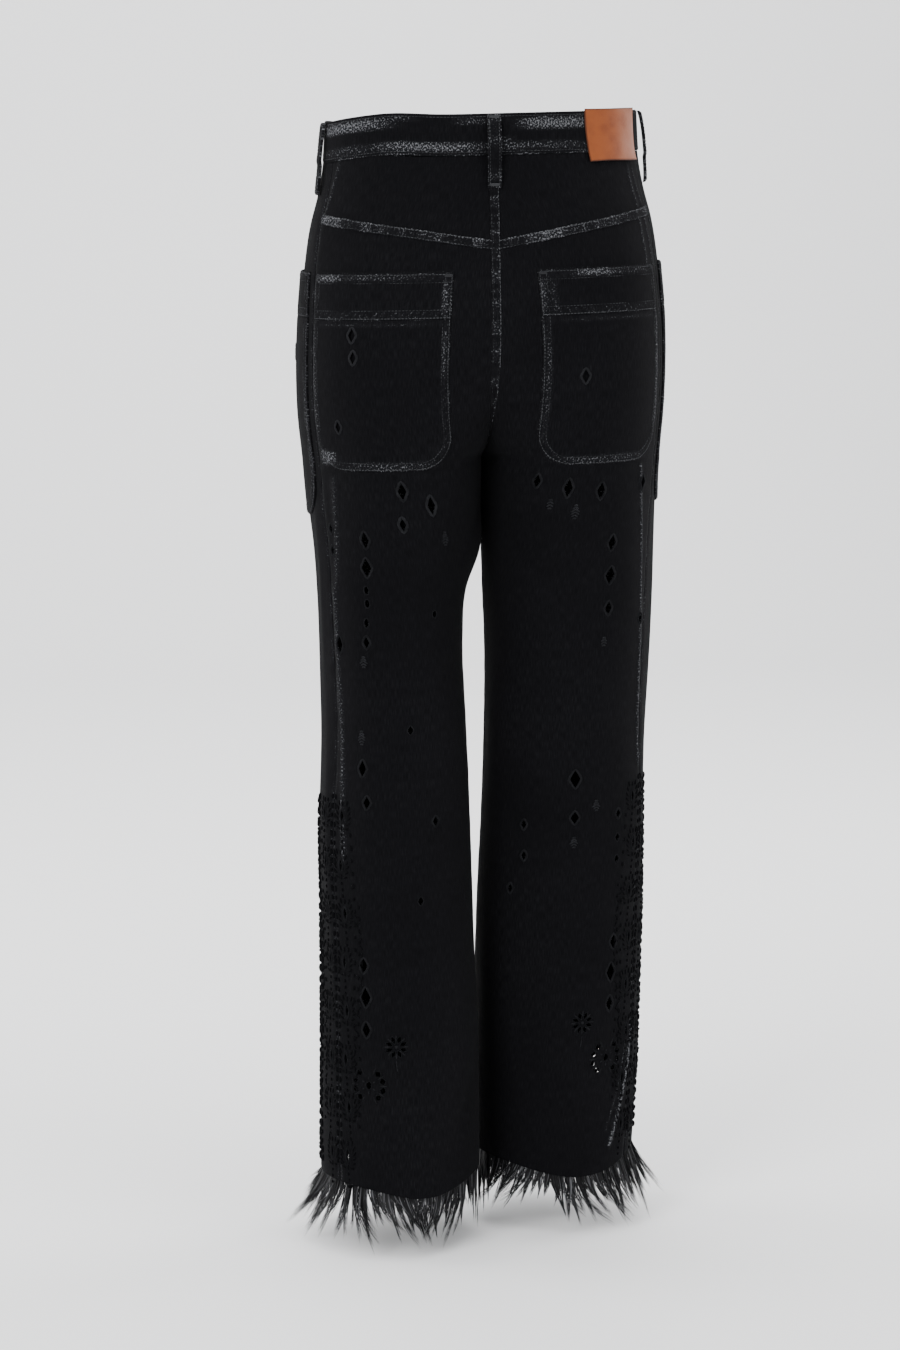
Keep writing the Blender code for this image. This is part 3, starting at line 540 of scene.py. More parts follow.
def outwards(points: Array, faces: Array) -> Array:
    """The faces of a closed shell, turned over if its signed volume is negative."""
    a, b, c = (points[faces[:, i]] - points[0] for i in range(3))
    return faces if np.einsum("ij,ij->i", a, np.cross(b, c)).sum() > 0 else faces[:, ::-1]


def within(points: Array, outline: Array) -> Array:
    """Whether each flat point lies inside a closed outline: it crosses it an odd number of times."""
    found = np.zeros(len(points), bool)
    for (x0, y0), (x1, y1) in zip(outline, np.roll(outline, -1, axis=0)):
        crosses = (y0 > points[:, 1]) != (y1 > points[:, 1])
        found ^= crosses & (points[:, 0] < (x1 - x0) * (points[:, 1] - y0) / ((y1 - y0) or 1e-9) + x0)
    return found


def edge_distance(points: Array, outline: Array, closed: bool = True) -> Array:
    """Distance from each flat point to the nearest side of an outline or path."""
    nearest = np.full(len(points), np.inf)
    ends = np.roll(outline, -1, axis=0) if closed else outline[1:]
    for start, end in zip(outline, ends):
        run = end - start
        t = np.clip((points - start) @ run / max(run @ run, 1e-9), 0, 1)
        nearest = np.minimum(nearest, np.hypot(*(points - start - t[:, None] * run).T))
    return nearest


def near_box(points: Array, outline: Array, margin: float) -> Array:
    """Indices of the points inside an outline's box grown by a margin."""
    low, high = outline.min(0) - margin, outline.max(0) + margin
    return np.flatnonzero(((points > low) & (points < high)).all(1))


def cut_sheet(outline: Array, holes: Sequence[Array], step: float,
              ridges: Sequence[Array] = ()) -> tuple[Array, Array, float]:
    """Triangulate a flat panel with its openings, on an even grid of points.

    Args:
        outline: its corners in order. holes: outlines of its openings. step: the grid's spacing.
        ridges: paths with closer lines of points beside them, for sharp creases.

    Returns:
        Flat points, triangles, and the panel's flat area in square millimetres.
    """
    low, high = outline.min(0), outline.max(0)
    xs, ys = (np.arange(low[i] + step / 2, high[i], step) for i in (0, 1))
    grid = np.stack(np.meshgrid(xs, ys), -1).reshape(-1, 2)
    for ridge in ridges:
        line = resampled(ridge, 0.8 * step)
        far = edge_distance(grid, ridge, closed=False) > 2.4 + 0.5 * step
        grid = np.concatenate([grid[far], *(beside(line, lane) for lane in (-2.4, -1.2, 0, 1.2, 2.4))])
    border = outline[::2] if len(outline) > 400 else outline
    grid = grid[within(grid, border)]
    grid = grid[edge_distance(grid, border) > 0.45 * step]
    for hole in holes:
        close = near_box(grid, hole, step)
        bad = within(grid[close], hole) | (edge_distance(grid[close], hole) < 0.45 * step)
        grid = np.delete(grid, close[bad], 0)
    loops = [outline, *holes]
    edges, first = [], 0
    for loop in loops:
        edges += [(first + i, first + (i + 1) % len(loop)) for i in range(len(loop))]
        first += len(loop)
    flat = np.concatenate([*loops, grid])
    found = delaunay_2d_cdt([Vector(p) for p in flat], edges, [], 1, 1e-5)
    points = np.array([tuple(p) for p in found[0]])
    faces = np.array([tuple(f) for f in found[2]])
    middle = points[faces].mean(1)
    solid = np.ones(len(faces), bool)
    for hole in holes:
        close = near_box(middle, hole, 0)
        solid[close[within(middle[close], hole)]] = False
    faces = faces[solid]
    used, faces = np.unique(faces, return_inverse=True)
    points, faces = points[used], faces.reshape(-1, 3)
    a, b, c = (points[faces[:, i]] for i in range(3))
    area = 0.5 * np.abs(np.cross(b - a, c - a)).sum()
    return points, faces, float(area)


def resampled(path: Array, step: float) -> Array:
    """A flat path with evenly spaced points."""
    along = np.concatenate([[0], np.cumsum(np.hypot(*np.diff(path, axis=0).T))])
    count = max(int(round(along[-1] / step)), 2)
    places = np.linspace(0, along[-1], count + 1)
    return pairs(*(np.interp(places, along, column) for column in path.T))


def leftward(run: Array) -> Array:
    """Unit vectors a quarter turn to the left of flat directions."""
    run = run / np.maximum(np.hypot(*run.T), 1e-9)[:, None]
    return pairs(-run[:, 1], run[:, 0])


def beside(path: Array, offset: float) -> Array:
    """A flat path moved sideways by offset, to the left of its direction if that is positive."""
    return path + leftward(np.gradient(path, axis=0)) * offset


def border(form: Form, panel: Panel, top: Array, foot: Array, step: float) -> Array:
    """Outline of a panel between two edges and its seams.

    Args:
        form, panel: where it lies. top, foot: rows of (part of the way across, drop); the top
        runs from the side seam and the foot back to it. step: spacing down both seams.

    Returns:
        Flat points, from the side seam's top round by the centre and the foot.
    """
    centre = np.arange(top[-1, 1] + step, foot[0, 1] - 1.0, step)
    side = np.arange(top[0, 1] + step, foot[-1, 1] - 1.0, step)[::-1]
    share, drop = np.concatenate([top, pairs(1.0, centre), foot, pairs(0.0, side)]).T
    width = form.width(panel, drop)
    return pairs(np.clip(share * width, 0.15, width - 0.15), drop)


# ---- sewing
Layer = Callable[[Array, Amount], Array]


@dataclass(frozen=True)
class Stitching:
    """A row of single stitches: short threads that dip into the cloth at both ends."""

    pitch: float = 3.5
    length: float = 2.7
    thread: float = 0.34
    proud: float = 0.28

    def sew(self, work: Patchwork, layer: Layer, path: Array, lift: float = 0.0,
            wear: float = 0.5) -> None:
        """Sew along a flat path.

        Args:
            work: where the threads go. layer: gives places of flat points and their lift.
            path: flat points. lift: height of the cloth's face. wear: how pale the thread is.
        """
        line = resampled(path, self.pitch)
        middle, side = (line[1:] + line[:-1]) / 2, leftward(np.diff(line, axis=0))
        run = pairs(side[:, 1], -side[:, 0])
        profile = ((-0.5, 0.55, -0.15), (-0.22, 1.0, 0.8), (0.22, 1.0, 0.8), (0.5, 0.55, -0.15))
        rings = []
        for share, wide, high in profile:
            base = middle + run * share * self.length
            for turn in circle(4):
                across = math.cos(turn) * self.thread * wide
                up = math.sin(turn) * self.thread * 0.8 + self.proud * high
                rings.append(layer(base + side * across, lift + up))
        points = np.stack(rings, 1)
        ends = [[0, 3, 2], [0, 2, 1], [12, 13, 14], [12, 14, 15]]
        one = outwards(points[0], np.concatenate([triangles(4, 4, closed=True), ends]))
        shade = wear + 0.25 * np.repeat(hash_noise(np.arange(len(middle)) * 0.37, 3.0), 16)
        uv = pairs(np.tile(np.repeat([0, 1, 2, 3], 4), len(middle)), 0.0)
        work.scatter(points, one, uv, np.clip(shade, 0, 1))


@dataclass(frozen=True)
class Welt:
    """A strip of folded cloth along a seam, rounded at its edges and puckered by its thread.

    pale is -1 where its right edge is the rubbed one and 1 where its left edge is.
    """

    width: float = 9.0
    thickness: float = 0.85
    pucker: float = 0.28
    period: float = 8.5
    pale: int = -1

    def lay(self, work: Patchwork, layer: Layer, path: Array, lift: float = 0.0,
            wear: Callable[[Array], Array] | float = 0.2, seed: float = 0.0) -> None:
        """Lay the strip along a flat path.

        Args:
            work: where it goes. layer: gives places of flat points and their lift. path: its
            middle line. lift: height of its underside. wear: abrasion, or a function of the flat
            points that gives it. seed: which puckers it gets.
        """
        line = resampled(path, 2.4)
        shares = np.array([-1, -0.93, -0.72, -0.3, 0.0, 0.3, 0.72, 0.93, 1])
        height = np.array([0.25, 0.8, 1.0, 0.93, 0.9, 0.93, 1.0, 0.8, 0.25])
        along = np.arange(len(line)) * 2.4
        ripple = hash_noise(along / self.period * 2, seed) * self.pucker
        grid = np.stack([beside(line, s * self.width / 2) for s in shares], 1)
        grid[..., 1] += hash_noise(along / 5.0, seed + 5)[:, None] * 0.25 * np.abs(shares)
        up = height * self.thickness + ripple[:, None] * np.cos(shares * 1.2)
        flat = grid.reshape(-1, 2)
        worn = wear(flat) if callable(wear) else np.full(len(flat), wear)
        worn = worn + np.tile(0.5 * np.clip(self.pale * shares, 0, 1) ** 6, len(line))
        worn = worn + np.repeat(np.clip(ripple / self.pucker, 0, 1) * 0.3, len(shares))
        work.wall(layer(flat, lift + up.ravel()), layer(flat, lift - 0.1),
                  triangles(*grid.shape[:2]), flat, np.clip(worn, 0, 1))


# ---- finishes
Colour = tuple[float, float, float]


class Shader:
    """A material under construction: its Principled shader and a few short ways to add nodes."""

    def __init__(self, name: str, base: Colour, roughness: float, **sockets: float | tuple) -> None:
        """Start a material with plain socket values.

        Args:
            name: the material's name. base: linear colour. roughness: of the whole surface.
            sockets: further Principled inputs, with underscores for spaces.
        """
        self.material = bpy.data.materials.new(name)
        self.material.use_nodes = True
        self.tree = self.material.node_tree
        self.surface = self.tree.nodes["Principled BSDF"]
        self.surface.inputs["Base Color"].default_value = (*base, 1.0)
        self.surface.inputs["Roughness"].default_value = roughness
        for socket, value in sockets.items():
            self.surface.inputs[socket.replace("_", " ")].default_value = value

    def node(self, kind: str, settings: Optional[dict] = None, **inputs: object) -> bpy.types.Node:
        """Add a node.

        Args:
            kind: its type without "ShaderNode". settings: attributes of the node.
            inputs: socket name, with underscores for spaces or i0, i1 for a number, to a value or
            to another node's socket.

        Returns:
            The node.
        """
        made = self.tree.nodes.new("ShaderNode" + kind)
        for key, value in (settings or {}).items():
            setattr(made, key, value)
        for key, value in inputs.items():
            socket = made.inputs[int(key[1:])] if key[1:].isdigit() else (
                made.inputs[key.replace("_", " ")])
            if isinstance(value, Socket):
                self.tree.links.new(value, socket)
            else:
                socket.default_value = value
        return made

    def math(self, operation: str, *values: object) -> Socket:
        """A Math node's result."""
        inputs = {f"i{k}": value for k, value in enumerate(values)}
        return self.node("Math", {"operation": operation}, **inputs).outputs[0]

    def times(self, value: object, factor: object, *plus: object) -> Socket:
        """A value times a factor, plus a third value where one is given."""
        return self.math("MULTIPLY_ADD" if plus else "MULTIPLY", value, factor, *plus)

    def cloth_mm(self) -> tuple[Socket, Socket]:
        """The piece's own UV map in millimetres: across and down the cloth."""
        uv = self.node("UVMap", {"uv_map": "cloth"}).outputs[0]
        parts = self.node("SeparateXYZ", i0=uv)
        return tuple(self.times(parts.outputs[k], 1000.0) for k in (0, 1))

    def noise(self, scale: float, detail: float = 2.0, vector: Optional[object] = None) -> Socket:
        """A Noise Texture's value, on Object coordinates unless a vector is given."""
        if vector is None:
            vector = self.node("TexCoord").outputs["Object"]
        return self.node("TexNoise", Vector=vector, Scale=scale, Detail=detail).outputs[0]

    def stretched(self, across: object, down: object) -> Socket:
        """A vector of two values."""
        return self.node("CombineXYZ", i0=across, i1=down).outputs[0]

    def worn(self) -> Socket:
        """The pieces' own "wear" values, 0 to 1."""
        return self.node("Attribute", {"attribute_name": "wear"}).outputs["Fac"]

    def ramp(self, value: object, low: float, high: float) -> Socket:
        """A value remapped from low..high to a smooth 0..1."""
        return self.node("MapRange", {"interpolation_type": "SMOOTHSTEP"}, Value=value,
                         From_Min=low, From_Max=high).outputs[0]

    def mix(self, share: object, first: object, second: object) -> Socket:
        """Two colours mixed by a share."""
        made = self.tree.nodes.new("ShaderNodeMix")
        made.data_type = "RGBA"
        for index, value in ((0, share), (6, first), (7, second)):
            if isinstance(value, Socket):
                self.tree.links.new(value, made.inputs[index])
            else:
                made.inputs[index].default_value = (
                    (*value, 1.0) if isinstance(value, tuple) else value)
        return made.outputs[2]

    def send(self, **sockets: Socket) -> None:
        """Link sockets to the shader's own inputs, named with underscores for spaces."""
        for name, socket in sockets.items():
            self.tree.links.new(socket, self.surface.inputs[name.replace("_", " ")])

    def bump(self, height: object, strength: float, distance_mm: float) -> None:
        """Raise the surface by a height of 0 to 1 times a distance."""
        self.send(Normal=self.node("Bump", Height=height, Strength=strength,
                                   Distance=distance_mm * MM).outputs[0])


@dataclass(frozen=True)
class Denim:
    """Black right-hand twill with slubby warp, turned grey where its wear value is high: rubbed places,
    and a painted highlight on crease tops.
    """

    dark: Colour = (0.0020, 0.0020, 0.0025)
    slub: Colour = (0.0072, 0.0073, 0.0084)
    # grey of rubbed cloth; on crease tops it also paints a highlight
    rubbed: Colour = (0.135, 0.138, 0.148)
    twill: float = 1.15

    def material(self) -> Material:
        """Build the twill: a sine of (across + 0.6 down) / pitch, over stretched noise."""
        shader = Shader("black_denim", self.dark, 0.9, Specular_IOR_Level=0.035,
                        Sheen_Weight=0.008, Sheen_Roughness=0.5)
        across, down = shader.cloth_mm()
        wobble = shader.noise(0.35, 2.0, shader.stretched(across, down))
        diagonal = shader.times(down, 0.62, across)
        phase = shader.times(diagonal, TURN / self.twill, shader.times(wobble, 5.0))
        twill = shader.math("SINE", phase)
        warp = shader.noise(1.0, 3.0, shader.stretched(
            shader.times(across, 1.7), shader.times(down, 0.11)))
        cloud = shader.noise(7.0, 3.0)
        grain = shader.noise(1.0, 4.0, shader.stretched(
            shader.times(across, 0.68), shader.times(down, 0.55)))
        faded = shader.times(twill, 0.14, shader.ramp(warp, 0.38, 0.72))
        faded = shader.times(faded, shader.times(cloud, 1.3, -0.05))
        faded = shader.times(shader.worn(), 1.1, faded)
        ground = shader.mix(shader.math("MINIMUM", faded, 2.2), self.dark, self.slub)
        speckle = shader.times(shader.math("SUBTRACT", grain, 0.5), 4.8)
        rub = shader.times(shader.worn(), 0.62, speckle)
        rub = shader.times(shader.ramp(rub, 0.42, 1.1), shader.times(twill, 0.22, 0.78))
        rub = shader.times(rub, shader.ramp(shader.worn(), 0.04, 0.42))
        shader.send(Base_Color=shader.mix(rub, ground, self.rubbed))
        height = shader.times(twill, 0.22, shader.times(warp, 0.5))
        height = shader.times(grain, 0.35, height)
        shader.bump(height, 0.55, 0.34)
        return shader.material


@dataclass(frozen=True)
class Thread:
    """Sewing or satin thread; a higher wear value makes it paler: worn thread, and on satin rims and
    thread-only marks a painted sheen. rib is the bump's pitch in mm.
    """

    name: str
    dark: Colour
    pale: Colour
    roughness: float
    rib: float

    def material(self) -> Material:
        """Build the thread: two tones by wear, with fine ribs down the piece's own V."""
        shader = Shader(self.name, self.dark, self.roughness, Specular_IOR_Level=0.012)
        _, down = shader.cloth_mm()
        mottle = shader.noise(160.0, 2.0)
        share = shader.times(shader.worn(), shader.times(mottle, 1.4, 0.2))
        shader.send(Base_Color=shader.mix(share, self.dark, self.pale))
        ribs = shader.math("SINE", shader.times(down, TURN / self.rib))
        shader.bump(shader.times(ribs, 0.5, mottle), 0.6, 0.25)
        return shader.material


@dataclass(frozen=True)
class Leather:
    """Tan vegetable leather, mottled and darker at its worn edges."""

    tan: Colour = (0.180, 0.040, 0.0035)
    deep: Colour = (0.128, 0.026, 0.0025)
    edge: Colour = (0.050, 0.011, 0.002)

    def material(self) -> Material:
        """Build the leather: cloudy tan, fine pores, dark edges by wear."""
        shader = Shader("tan_leather", self.tan, 0.6, Specular_IOR_Level=0.2)
        cloud = shader.noise(55.0, 5.0)
        pores = shader.node("TexVoronoi", {"feature": "F1"}, Scale=1500.0,
                            Vector=shader.node("TexCoord").outputs["Object"]).outputs[0]
        tone = shader.mix(shader.ramp(cloud, 0.42, 0.78), self.tan, self.deep)
        rim = shader.times(shader.worn(), shader.times(cloud, 0.9, 0.45))
        shader.send(Base_Color=shader.mix(shader.ramp(rim, 0.1, 0.95), tone, self.edge))
        shader.send(Roughness=shader.times(cloud, 0.3, 0.34))
        shader.bump(shader.times(cloud, 0.8, pores), 0.5, 0.22)
        return shader.material


@dataclass(frozen=True)
class Feather:
    """Dyed barbs, black at the root; a grey painted highlight streaks them where their wear value is
    high.
    """

    dark: Colour = (0.0022, 0.0022, 0.0027)
    # The painted highlight's grey.
    grey: Colour = (0.130, 0.131, 0.140)

    def material(self) -> Material:
        """Build the barbs: black, and the painted highlight's grey mixed in by the wear value, with a
        soft sheen.
        """
        shader = Shader("dyed_feather", self.dark, 0.45, Specular_IOR_Level=0.1)
        mottle = shader.noise(120.0, 2.0)
        share = shader.times(shader.worn(), shader.times(mottle, 1.2, 0.3))
        shader.send(Base_Color=shader.mix(share, self.dark, self.grey))
        return shader.material


@dataclass(frozen=True)
class Gunmetal:
    """Dark plated metal with fine scuffs."""

    base: Colour = (0.12, 0.12, 0.13)

    def material(self) -> Material:
        """Build the metal: scuffed roughness over a plain colour."""
        shader = Shader("gunmetal", self.base, 0.35, Metallic=0.9)
        scuff = shader.noise(900.0, 4.0)
        shader.send(Roughness=shader.times(scuff, 0.35, 0.2))
        shader.bump(scuff, 0.25, 0.08)
        return shader.material


@dataclass
class Wardrobe:
    """The finishes, made once and shared by the pieces."""

    denim: Material = field(default_factory=lambda: Denim().material())
    topstitch: Material = field(default_factory=lambda: Thread(
        "topstitch_thread", (0.006, 0.006, 0.007), (0.105, 0.108, 0.115), 0.7, 0.5).material())
    satin: Material = field(default_factory=lambda: Thread(
        "satin_thread", (0.0013, 0.0013, 0.0016), (0.018, 0.0185, 0.0205), 0.65, 0.55).material())
    leather: Material = field(default_factory=lambda: Leather().material())
    feather: Material = field(default_factory=lambda: Feather().material())
    gunmetal: Material = field(default_factory=lambda: Gunmetal().material())


# ---- openings and their rims
DIAMOND, EYELET = 1.12, 2.0
# How much paler a rim's satin thread is made: a painted sheen.
SHINE = 0.42


class Opening(NamedTuple):
    """A cut in the cloth: its middle as a flat point, its size, its rim's shine, its shape.

    shine is a painted sheen: the rim's thread is made that much paler, and over 0.5 the rim is larger
    too. power shapes it: near 1 gives a diamond and 2 an eyelet.
    """

    across: float
    drop: float
    width: float
    height: float
    shine: float = SHINE
    power: float = DIAMOND


LOW_OPENINGS = ((36, 817, 9, 15), (38, 848, 11, 20), (38, 880, 9, 16))
MIDDLE_OPENINGS = (
    (100, 426, 8, 16), (100, 456, 10, 19), (100, 487, 8, 15), (152, 550, 8, 16), (110, 630, 9, 18),
    (110, 664, 8, 14), (176, 708, 6, 10), (150, 782, 6, 10), (116, 817, 9, 15), (116, 848, 11, 20),
    (116, 880, 9, 16), (196, 872, 6, 11),
)
OPENINGS = {
    (Side.LEFT, Panel.BACK): chart(
        Opening, (97, 354, 9, 18, 0.6), (124, 369, 9, 19, 0.6), (93, 386, 7, 14, 0.6), (10, 392, 6, 10),
        (9, 413, 6, 10), (12, 505, 9, 18), (53, 401, 9, 17), (51, 428, 11, 19),
        (49, 450, 5, 8, SHINE, EYELET), (49, 463, 5, 8, SHINE, EYELET), (47, 482, 5, 9, SHINE, EYELET),
        (46, 501, 7, 12), (117, 476, 5, 7, SHINE, EYELET), (86, 587, 6, 9), (38, 624, 9, 17),
        (44, 657, 8, 13), (116, 678, 7, 10), (96, 754, 6, 9), *LOW_OPENINGS,
    ),
    (Side.RIGHT, Panel.BACK): chart(
        Opening, (148, 350, 8, 13), (116, 357, 9, 18), (83, 361, 9, 17), (28, 357, 9, 16),
        (63, 413, 9, 16), (59, 446, 11, 18), (57, 479, 8, 14), (11, 494, 6, 10), (84, 648, 11, 18),
        (84, 687, 9, 13), (36, 687, 6, 10), (36, 711, 6, 9), (36, 733, 6, 9), (136, 694, 6, 10),
        (134, 725, 6, 10), (148, 759, 6, 10), *LOW_OPENINGS,
    ),
    (Side.LEFT, Panel.FRONT): chart(Opening, *MIDDLE_OPENINGS, (142, 972, 5, 6, SHINE, EYELET)),
    (Side.RIGHT, Panel.FRONT): chart(Opening, *MIDDLE_OPENINGS),
}
POCKET_OPENINGS = {
    (Side.LEFT, Panel.BACK): chart(Opening, (58, 205, 8, 14), (60, 226, 7, 13), (40, 292, 7, 12)),
    (Side.RIGHT, Panel.BACK): chart(Opening, (112, 249, 8, 14)),
    (Side.LEFT, Panel.FRONT): chart(Opening, (54, 224, 7, 14)),
    (Side.RIGHT, Panel.FRONT): chart(Opening, (54, 224, 7, 14)),
}
# Drawn in thread only, with no opening in them.
MARKS = {
    Side.LEFT: chart(Opening, (134, 402, 8, 15), (42, 520, 7, 12), (37, 594, 8, 15)),
    Side.RIGHT: chart(
        Opening, (106, 380, 8, 15), (131, 372, 6, 11), (62, 676, 7, 12), (60, 512, 6, 10),
        (84, 712, 7, 12),
    ),
}
FLOWER_ACROSS = {Panel.BACK: 68.0, Panel.FRONT: 136.0}
WHEEL_ACROSS = {Panel.BACK: 39.0, Panel.FRONT: 101.0}
WHEEL_DROP = {Panel.BACK: 935.0, Panel.FRONT: 973.0}
FLOWER_DROP = 896.0
SIDE_SLIT_FIRST, SIDE_SLIT_PITCH, SIDE_SLIT_COUNT = 672.0, 48.0, 8
SIDE_SLIT_ACROSS = (15.0, 12.0)


def opening_outline(cut: Opening, turn: float = 0.0) -> Array:
    """Outline of an opening, turned in radians about its middle: |x/a|^p + |y/b|^p = 1."""
    turns = circle(20 if cut.power < EYELET else 14)
    c, s = np.cos(turns), np.sin(turns)
    radius = (np.abs(c) ** cut.power + np.abs(s) ** cut.power) ** (-1 / cut.power)
    x, y = cut.width / 2 * radius * c, cut.height / 2 * radius * s
    ct, st = math.cos(turn), math.sin(turn)
    return pairs(x * ct - y * st + cut.across, x * st + y * ct + cut.drop)


def spokes(across: float, drop: float, radius: float, width: float, length: float,
           turns: Sequence[float]) -> list[Array]:
    """Outlines of openings set like spokes; turns are in degrees from straight up."""
    return [opening_outline(Opening(across + radius * math.sin(turn),
                                    drop - radius * math.cos(turn), width, length), turn)
            for turn in np.radians(turns)]


def leaf_ring(across: float, drop: float, reach: tuple[float, float], turns: Sequence[float],
              size: tuple[float, float, float]) -> list[tuple[float, ...]]:
    """Leaves set like spokes, for Satin.leaves; size is their length, width and height."""
    length, width, height = size
    return [(across + reach[0] * math.sin(turn), drop - reach[1] * math.cos(turn), length, width,
             math.atan2(math.sin(turn), -math.cos(turn)), height) for turn in np.radians(turns)]


def leg_openings(side: Side, panel: Panel) -> list[Array]:
    """Outlines of all openings of one leg panel."""
    outlines = [opening_outline(cut) for cut in OPENINGS[side, panel]]
    spin = [360 * k / 8 + 22.5 for k in range(8)]
    outlines += spokes(FLOWER_ACROSS[panel], FLOWER_DROP, 7.6, 4.2, 7.6, spin)
    wheel = [base + turn for base in (90, 270) for turn in (-50, -17, 17, 50)]
    outlines += spokes(WHEEL_ACROSS[panel], WHEEL_DROP[panel], 15.5, 7.4, 6.4, wheel)
    hub = Opening(WHEEL_ACROSS[panel], WHEEL_DROP[panel], 6.0, 8.0, power=EYELET)
    slits = [Opening(SIDE_SLIT_ACROSS[k % 2], SIDE_SLIT_FIRST + SIDE_SLIT_PITCH * k, 4.6, 14.0)
             for k in range(SIDE_SLIT_COUNT)]
    return outlines + [opening_outline(cut) for cut in (hub, *slits)]


@dataclass(frozen=True)
class Satin:
    """Raised thread: corded rims round openings, and padded leaves and dots."""

    rim: float = 1.9
    height: float = 0.75

    def edge(self, work: Patchwork, layer: Layer, outline: Array, wear: float = 0.16) -> None:
        """Work a corded rim round an opening's outline, six points round its section; wear makes its
        thread paler, and the leg panels paint the rim's sheen with it.
        """
        out = -leftward(np.roll(outline, -1, 0) - np.roll(outline, 1, 0))
        shape = ((-0.25, -0.35), (-0.2, 0.45), (0.3, 1.0), (0.75, 0.75), (1.0, 0.05), (0.4, -0.35))
        count, size = len(outline), len(shape)
        uneven = 1 + 0.16 * np.sin(np.arange(count) * 2.4)
        rings = [layer(outline + out * self.rim * away * uneven[:, None],
                       high * self.height * uneven) for away, high in shape]
        points = np.stack(rings, 1).reshape(-1, 3)
        grid = triangles(count + 1, size, closed=True) % (count * size)
        uv = pairs(np.tile(np.arange(size), count), np.repeat(np.arange(count) * 1.7, size))
        work.add(points, outwards(points, grid), uv, wear)

    def leaves(self, work: Patchwork, layer: Layer, leaves: Sequence[tuple[float, ...]],
               wear: float = 0.3) -> None:
        """Pad leaves or dots: low ellipsoids pressed into the cloth.

        Args:
            work: where they go. layer: gives places. leaves: rows of across, drop, length, width,
            turn in radians from straight down, and height. wear: how pale they are.
        """
        rings, around = 5, 8
        t, p = np.meshgrid(circle(around), np.linspace(0, math.pi, rings + 2)[1:-1])
        unit = np.stack([np.sin(p) * np.cos(t), np.cos(p), np.sin(p) * np.sin(t)], -1).reshape(-1, 3)
        ring, foot = np.arange(around), around * (rings - 1)
        top = rings * around
        caps = [np.stack([np.full(around, top), np.roll(ring, -1), ring], 1),
                np.stack([np.full(around, top + 1), ring + foot, np.roll(ring, -1) + foot], 1)]
        unit = np.concatenate([unit, [[0, 1, 0], [0, -1, 0]]])
        faces = outwards(unit, np.concatenate([triangles(rings, around, closed=True), *caps]))
        across, drop, length, width, turn, height = np.array(leaves, float).T[..., None]
        x, y = unit[:, 0] * width / 2, unit[:, 1] * length / 2
        c, s = np.cos(turn), np.sin(turn)
        flat = pairs(across + x * c + y * s, drop - x * s + y * c)
        lift = unit[:, 2] * height + 0.15
        points = layer(flat.reshape(-1, 2), lift.ravel()).reshape(*x.shape, 3)
        work.scatter(points, outwards(points[0], faces), pairs(x.ravel(), y.ravel()), wear)


# ---- abrasion
class Rub(NamedTuple):
    """A rubbed place: its middle and half size as flat points of the back, and its strength."""

    across: float
    drop: float
    half_across: float
    half_drop: float
    strength: float


BACK_RUBS = {
    Side.LEFT: chart(
        Rub,
        (16, 9, 50, 5.5, 1.0), (70, 5, 24, 2.6, 0.4), (104, 31, 52, 4.4, 0.9),
        (150, 7, 22, 3.4, 0.42), (20, 31, 30, 4.5, 0.34), (25, 152, 19, 3.2, 0.95),
        (80, 152, 44, 2.6, 0.42), (146, 172, 3.2, 16, 0.6), (147, 222, 2.6, 26, 0.55),
        (8, 255, 3.0, 60, 0.5), (18, 322, 13, 7.0, 0.92), (90, 329, 46, 3.6, 0.42),
        (76, 195, 66, 2.0, 0.24), (184, 70, 5, 22, 0.5),
    ),
    Side.RIGHT: chart(
        Rub,
        (104, 10, 37, 5.5, 1.0), (120, 31, 44, 4, 0.45), (160, 28, 14, 6, 0.4),
        (96, 152, 21, 3.2, 0.95), (56, 152, 34, 2.6, 0.4), (140, 172, 4, 18, 0.28),
        (19, 250, 4.0, 66, 0.62), (147, 250, 2.4, 60, 0.34), (84, 329, 56, 3.6, 0.4),
        (78, 195, 62, 2.0, 0.24), (150, 172, 3, 16, 0.5),
    ),
}
# Along the yoke seam: how far across, half length, strength.
YOKE_RUBS = {
    Side.LEFT: ((12, 20, 1.0), (66, 30, 0.3), (132, 16, 0.28), (170, 10, 0.5)),
    Side.RIGHT: ((136, 25, 0.9), (66, 36, 0.3), (10, 9, 0.45)),
}
FRONT_RUBS = chart(
    Rub,
    (60, 9, 50, 5.0, 0.8), (130, 30, 40, 4.5, 0.65), (60, 149, 30, 3.2, 0.8),
    (154, 230, 2.6, 60, 0.5), (13, 300, 2.6, 60, 0.45), (70, 379, 40, 3.2, 0.55),
)


def rubbed(side: Side, panel: Panel, flat: Array) -> Array:
    """How abraded the cloth is: the largest s exp(-(x/a)^4 - (y/b)^4) of the rubbed places.

    Args:
        side, panel: the panel. flat: (n, 2) flat points; negative across is on the other panel.

    Returns:
        0 to 1 for each point.
    """
    worst = np.zeros(len(flat))
    tables = {Panel.BACK: BACK_RUBS[side], Panel.FRONT: FRONT_RUBS}
    for place, table in tables.items():
        across = flat[:, 0] if place is panel else -flat[:, 0]
        for rub in table:
            x, y = (across - rub.across) / rub.half_across, (flat[:, 1] - rub.drop) / rub.half_drop
            near = rub.strength * np.exp(-x ** 4 - y ** 4)
            if place is panel or rub.across < 40:
                worst = np.maximum(worst, np.where(across > -60, near, 0))
    return worst


class Crease(NamedTuple):
    """A sharp ridge whose top is made pale, partly rubbed wear and partly a painted highlight; its path
    is of flat points of the back.
    """

    path: tuple[tuple[float, float], ...]
    spread: float
    height: float
    # Paleness of its top: rubbed wear together with a painted highlight on the ridge.
    wear: float

    def line(self) -> Array:
        """The path as a smooth curve: across is a cubic in drop."""
        across, drop = np.array(self.path, float).T
        fine = np.linspace(drop[0], drop[-1], 12)
        return pairs(smooth_rows(drop, across, fine), fine)
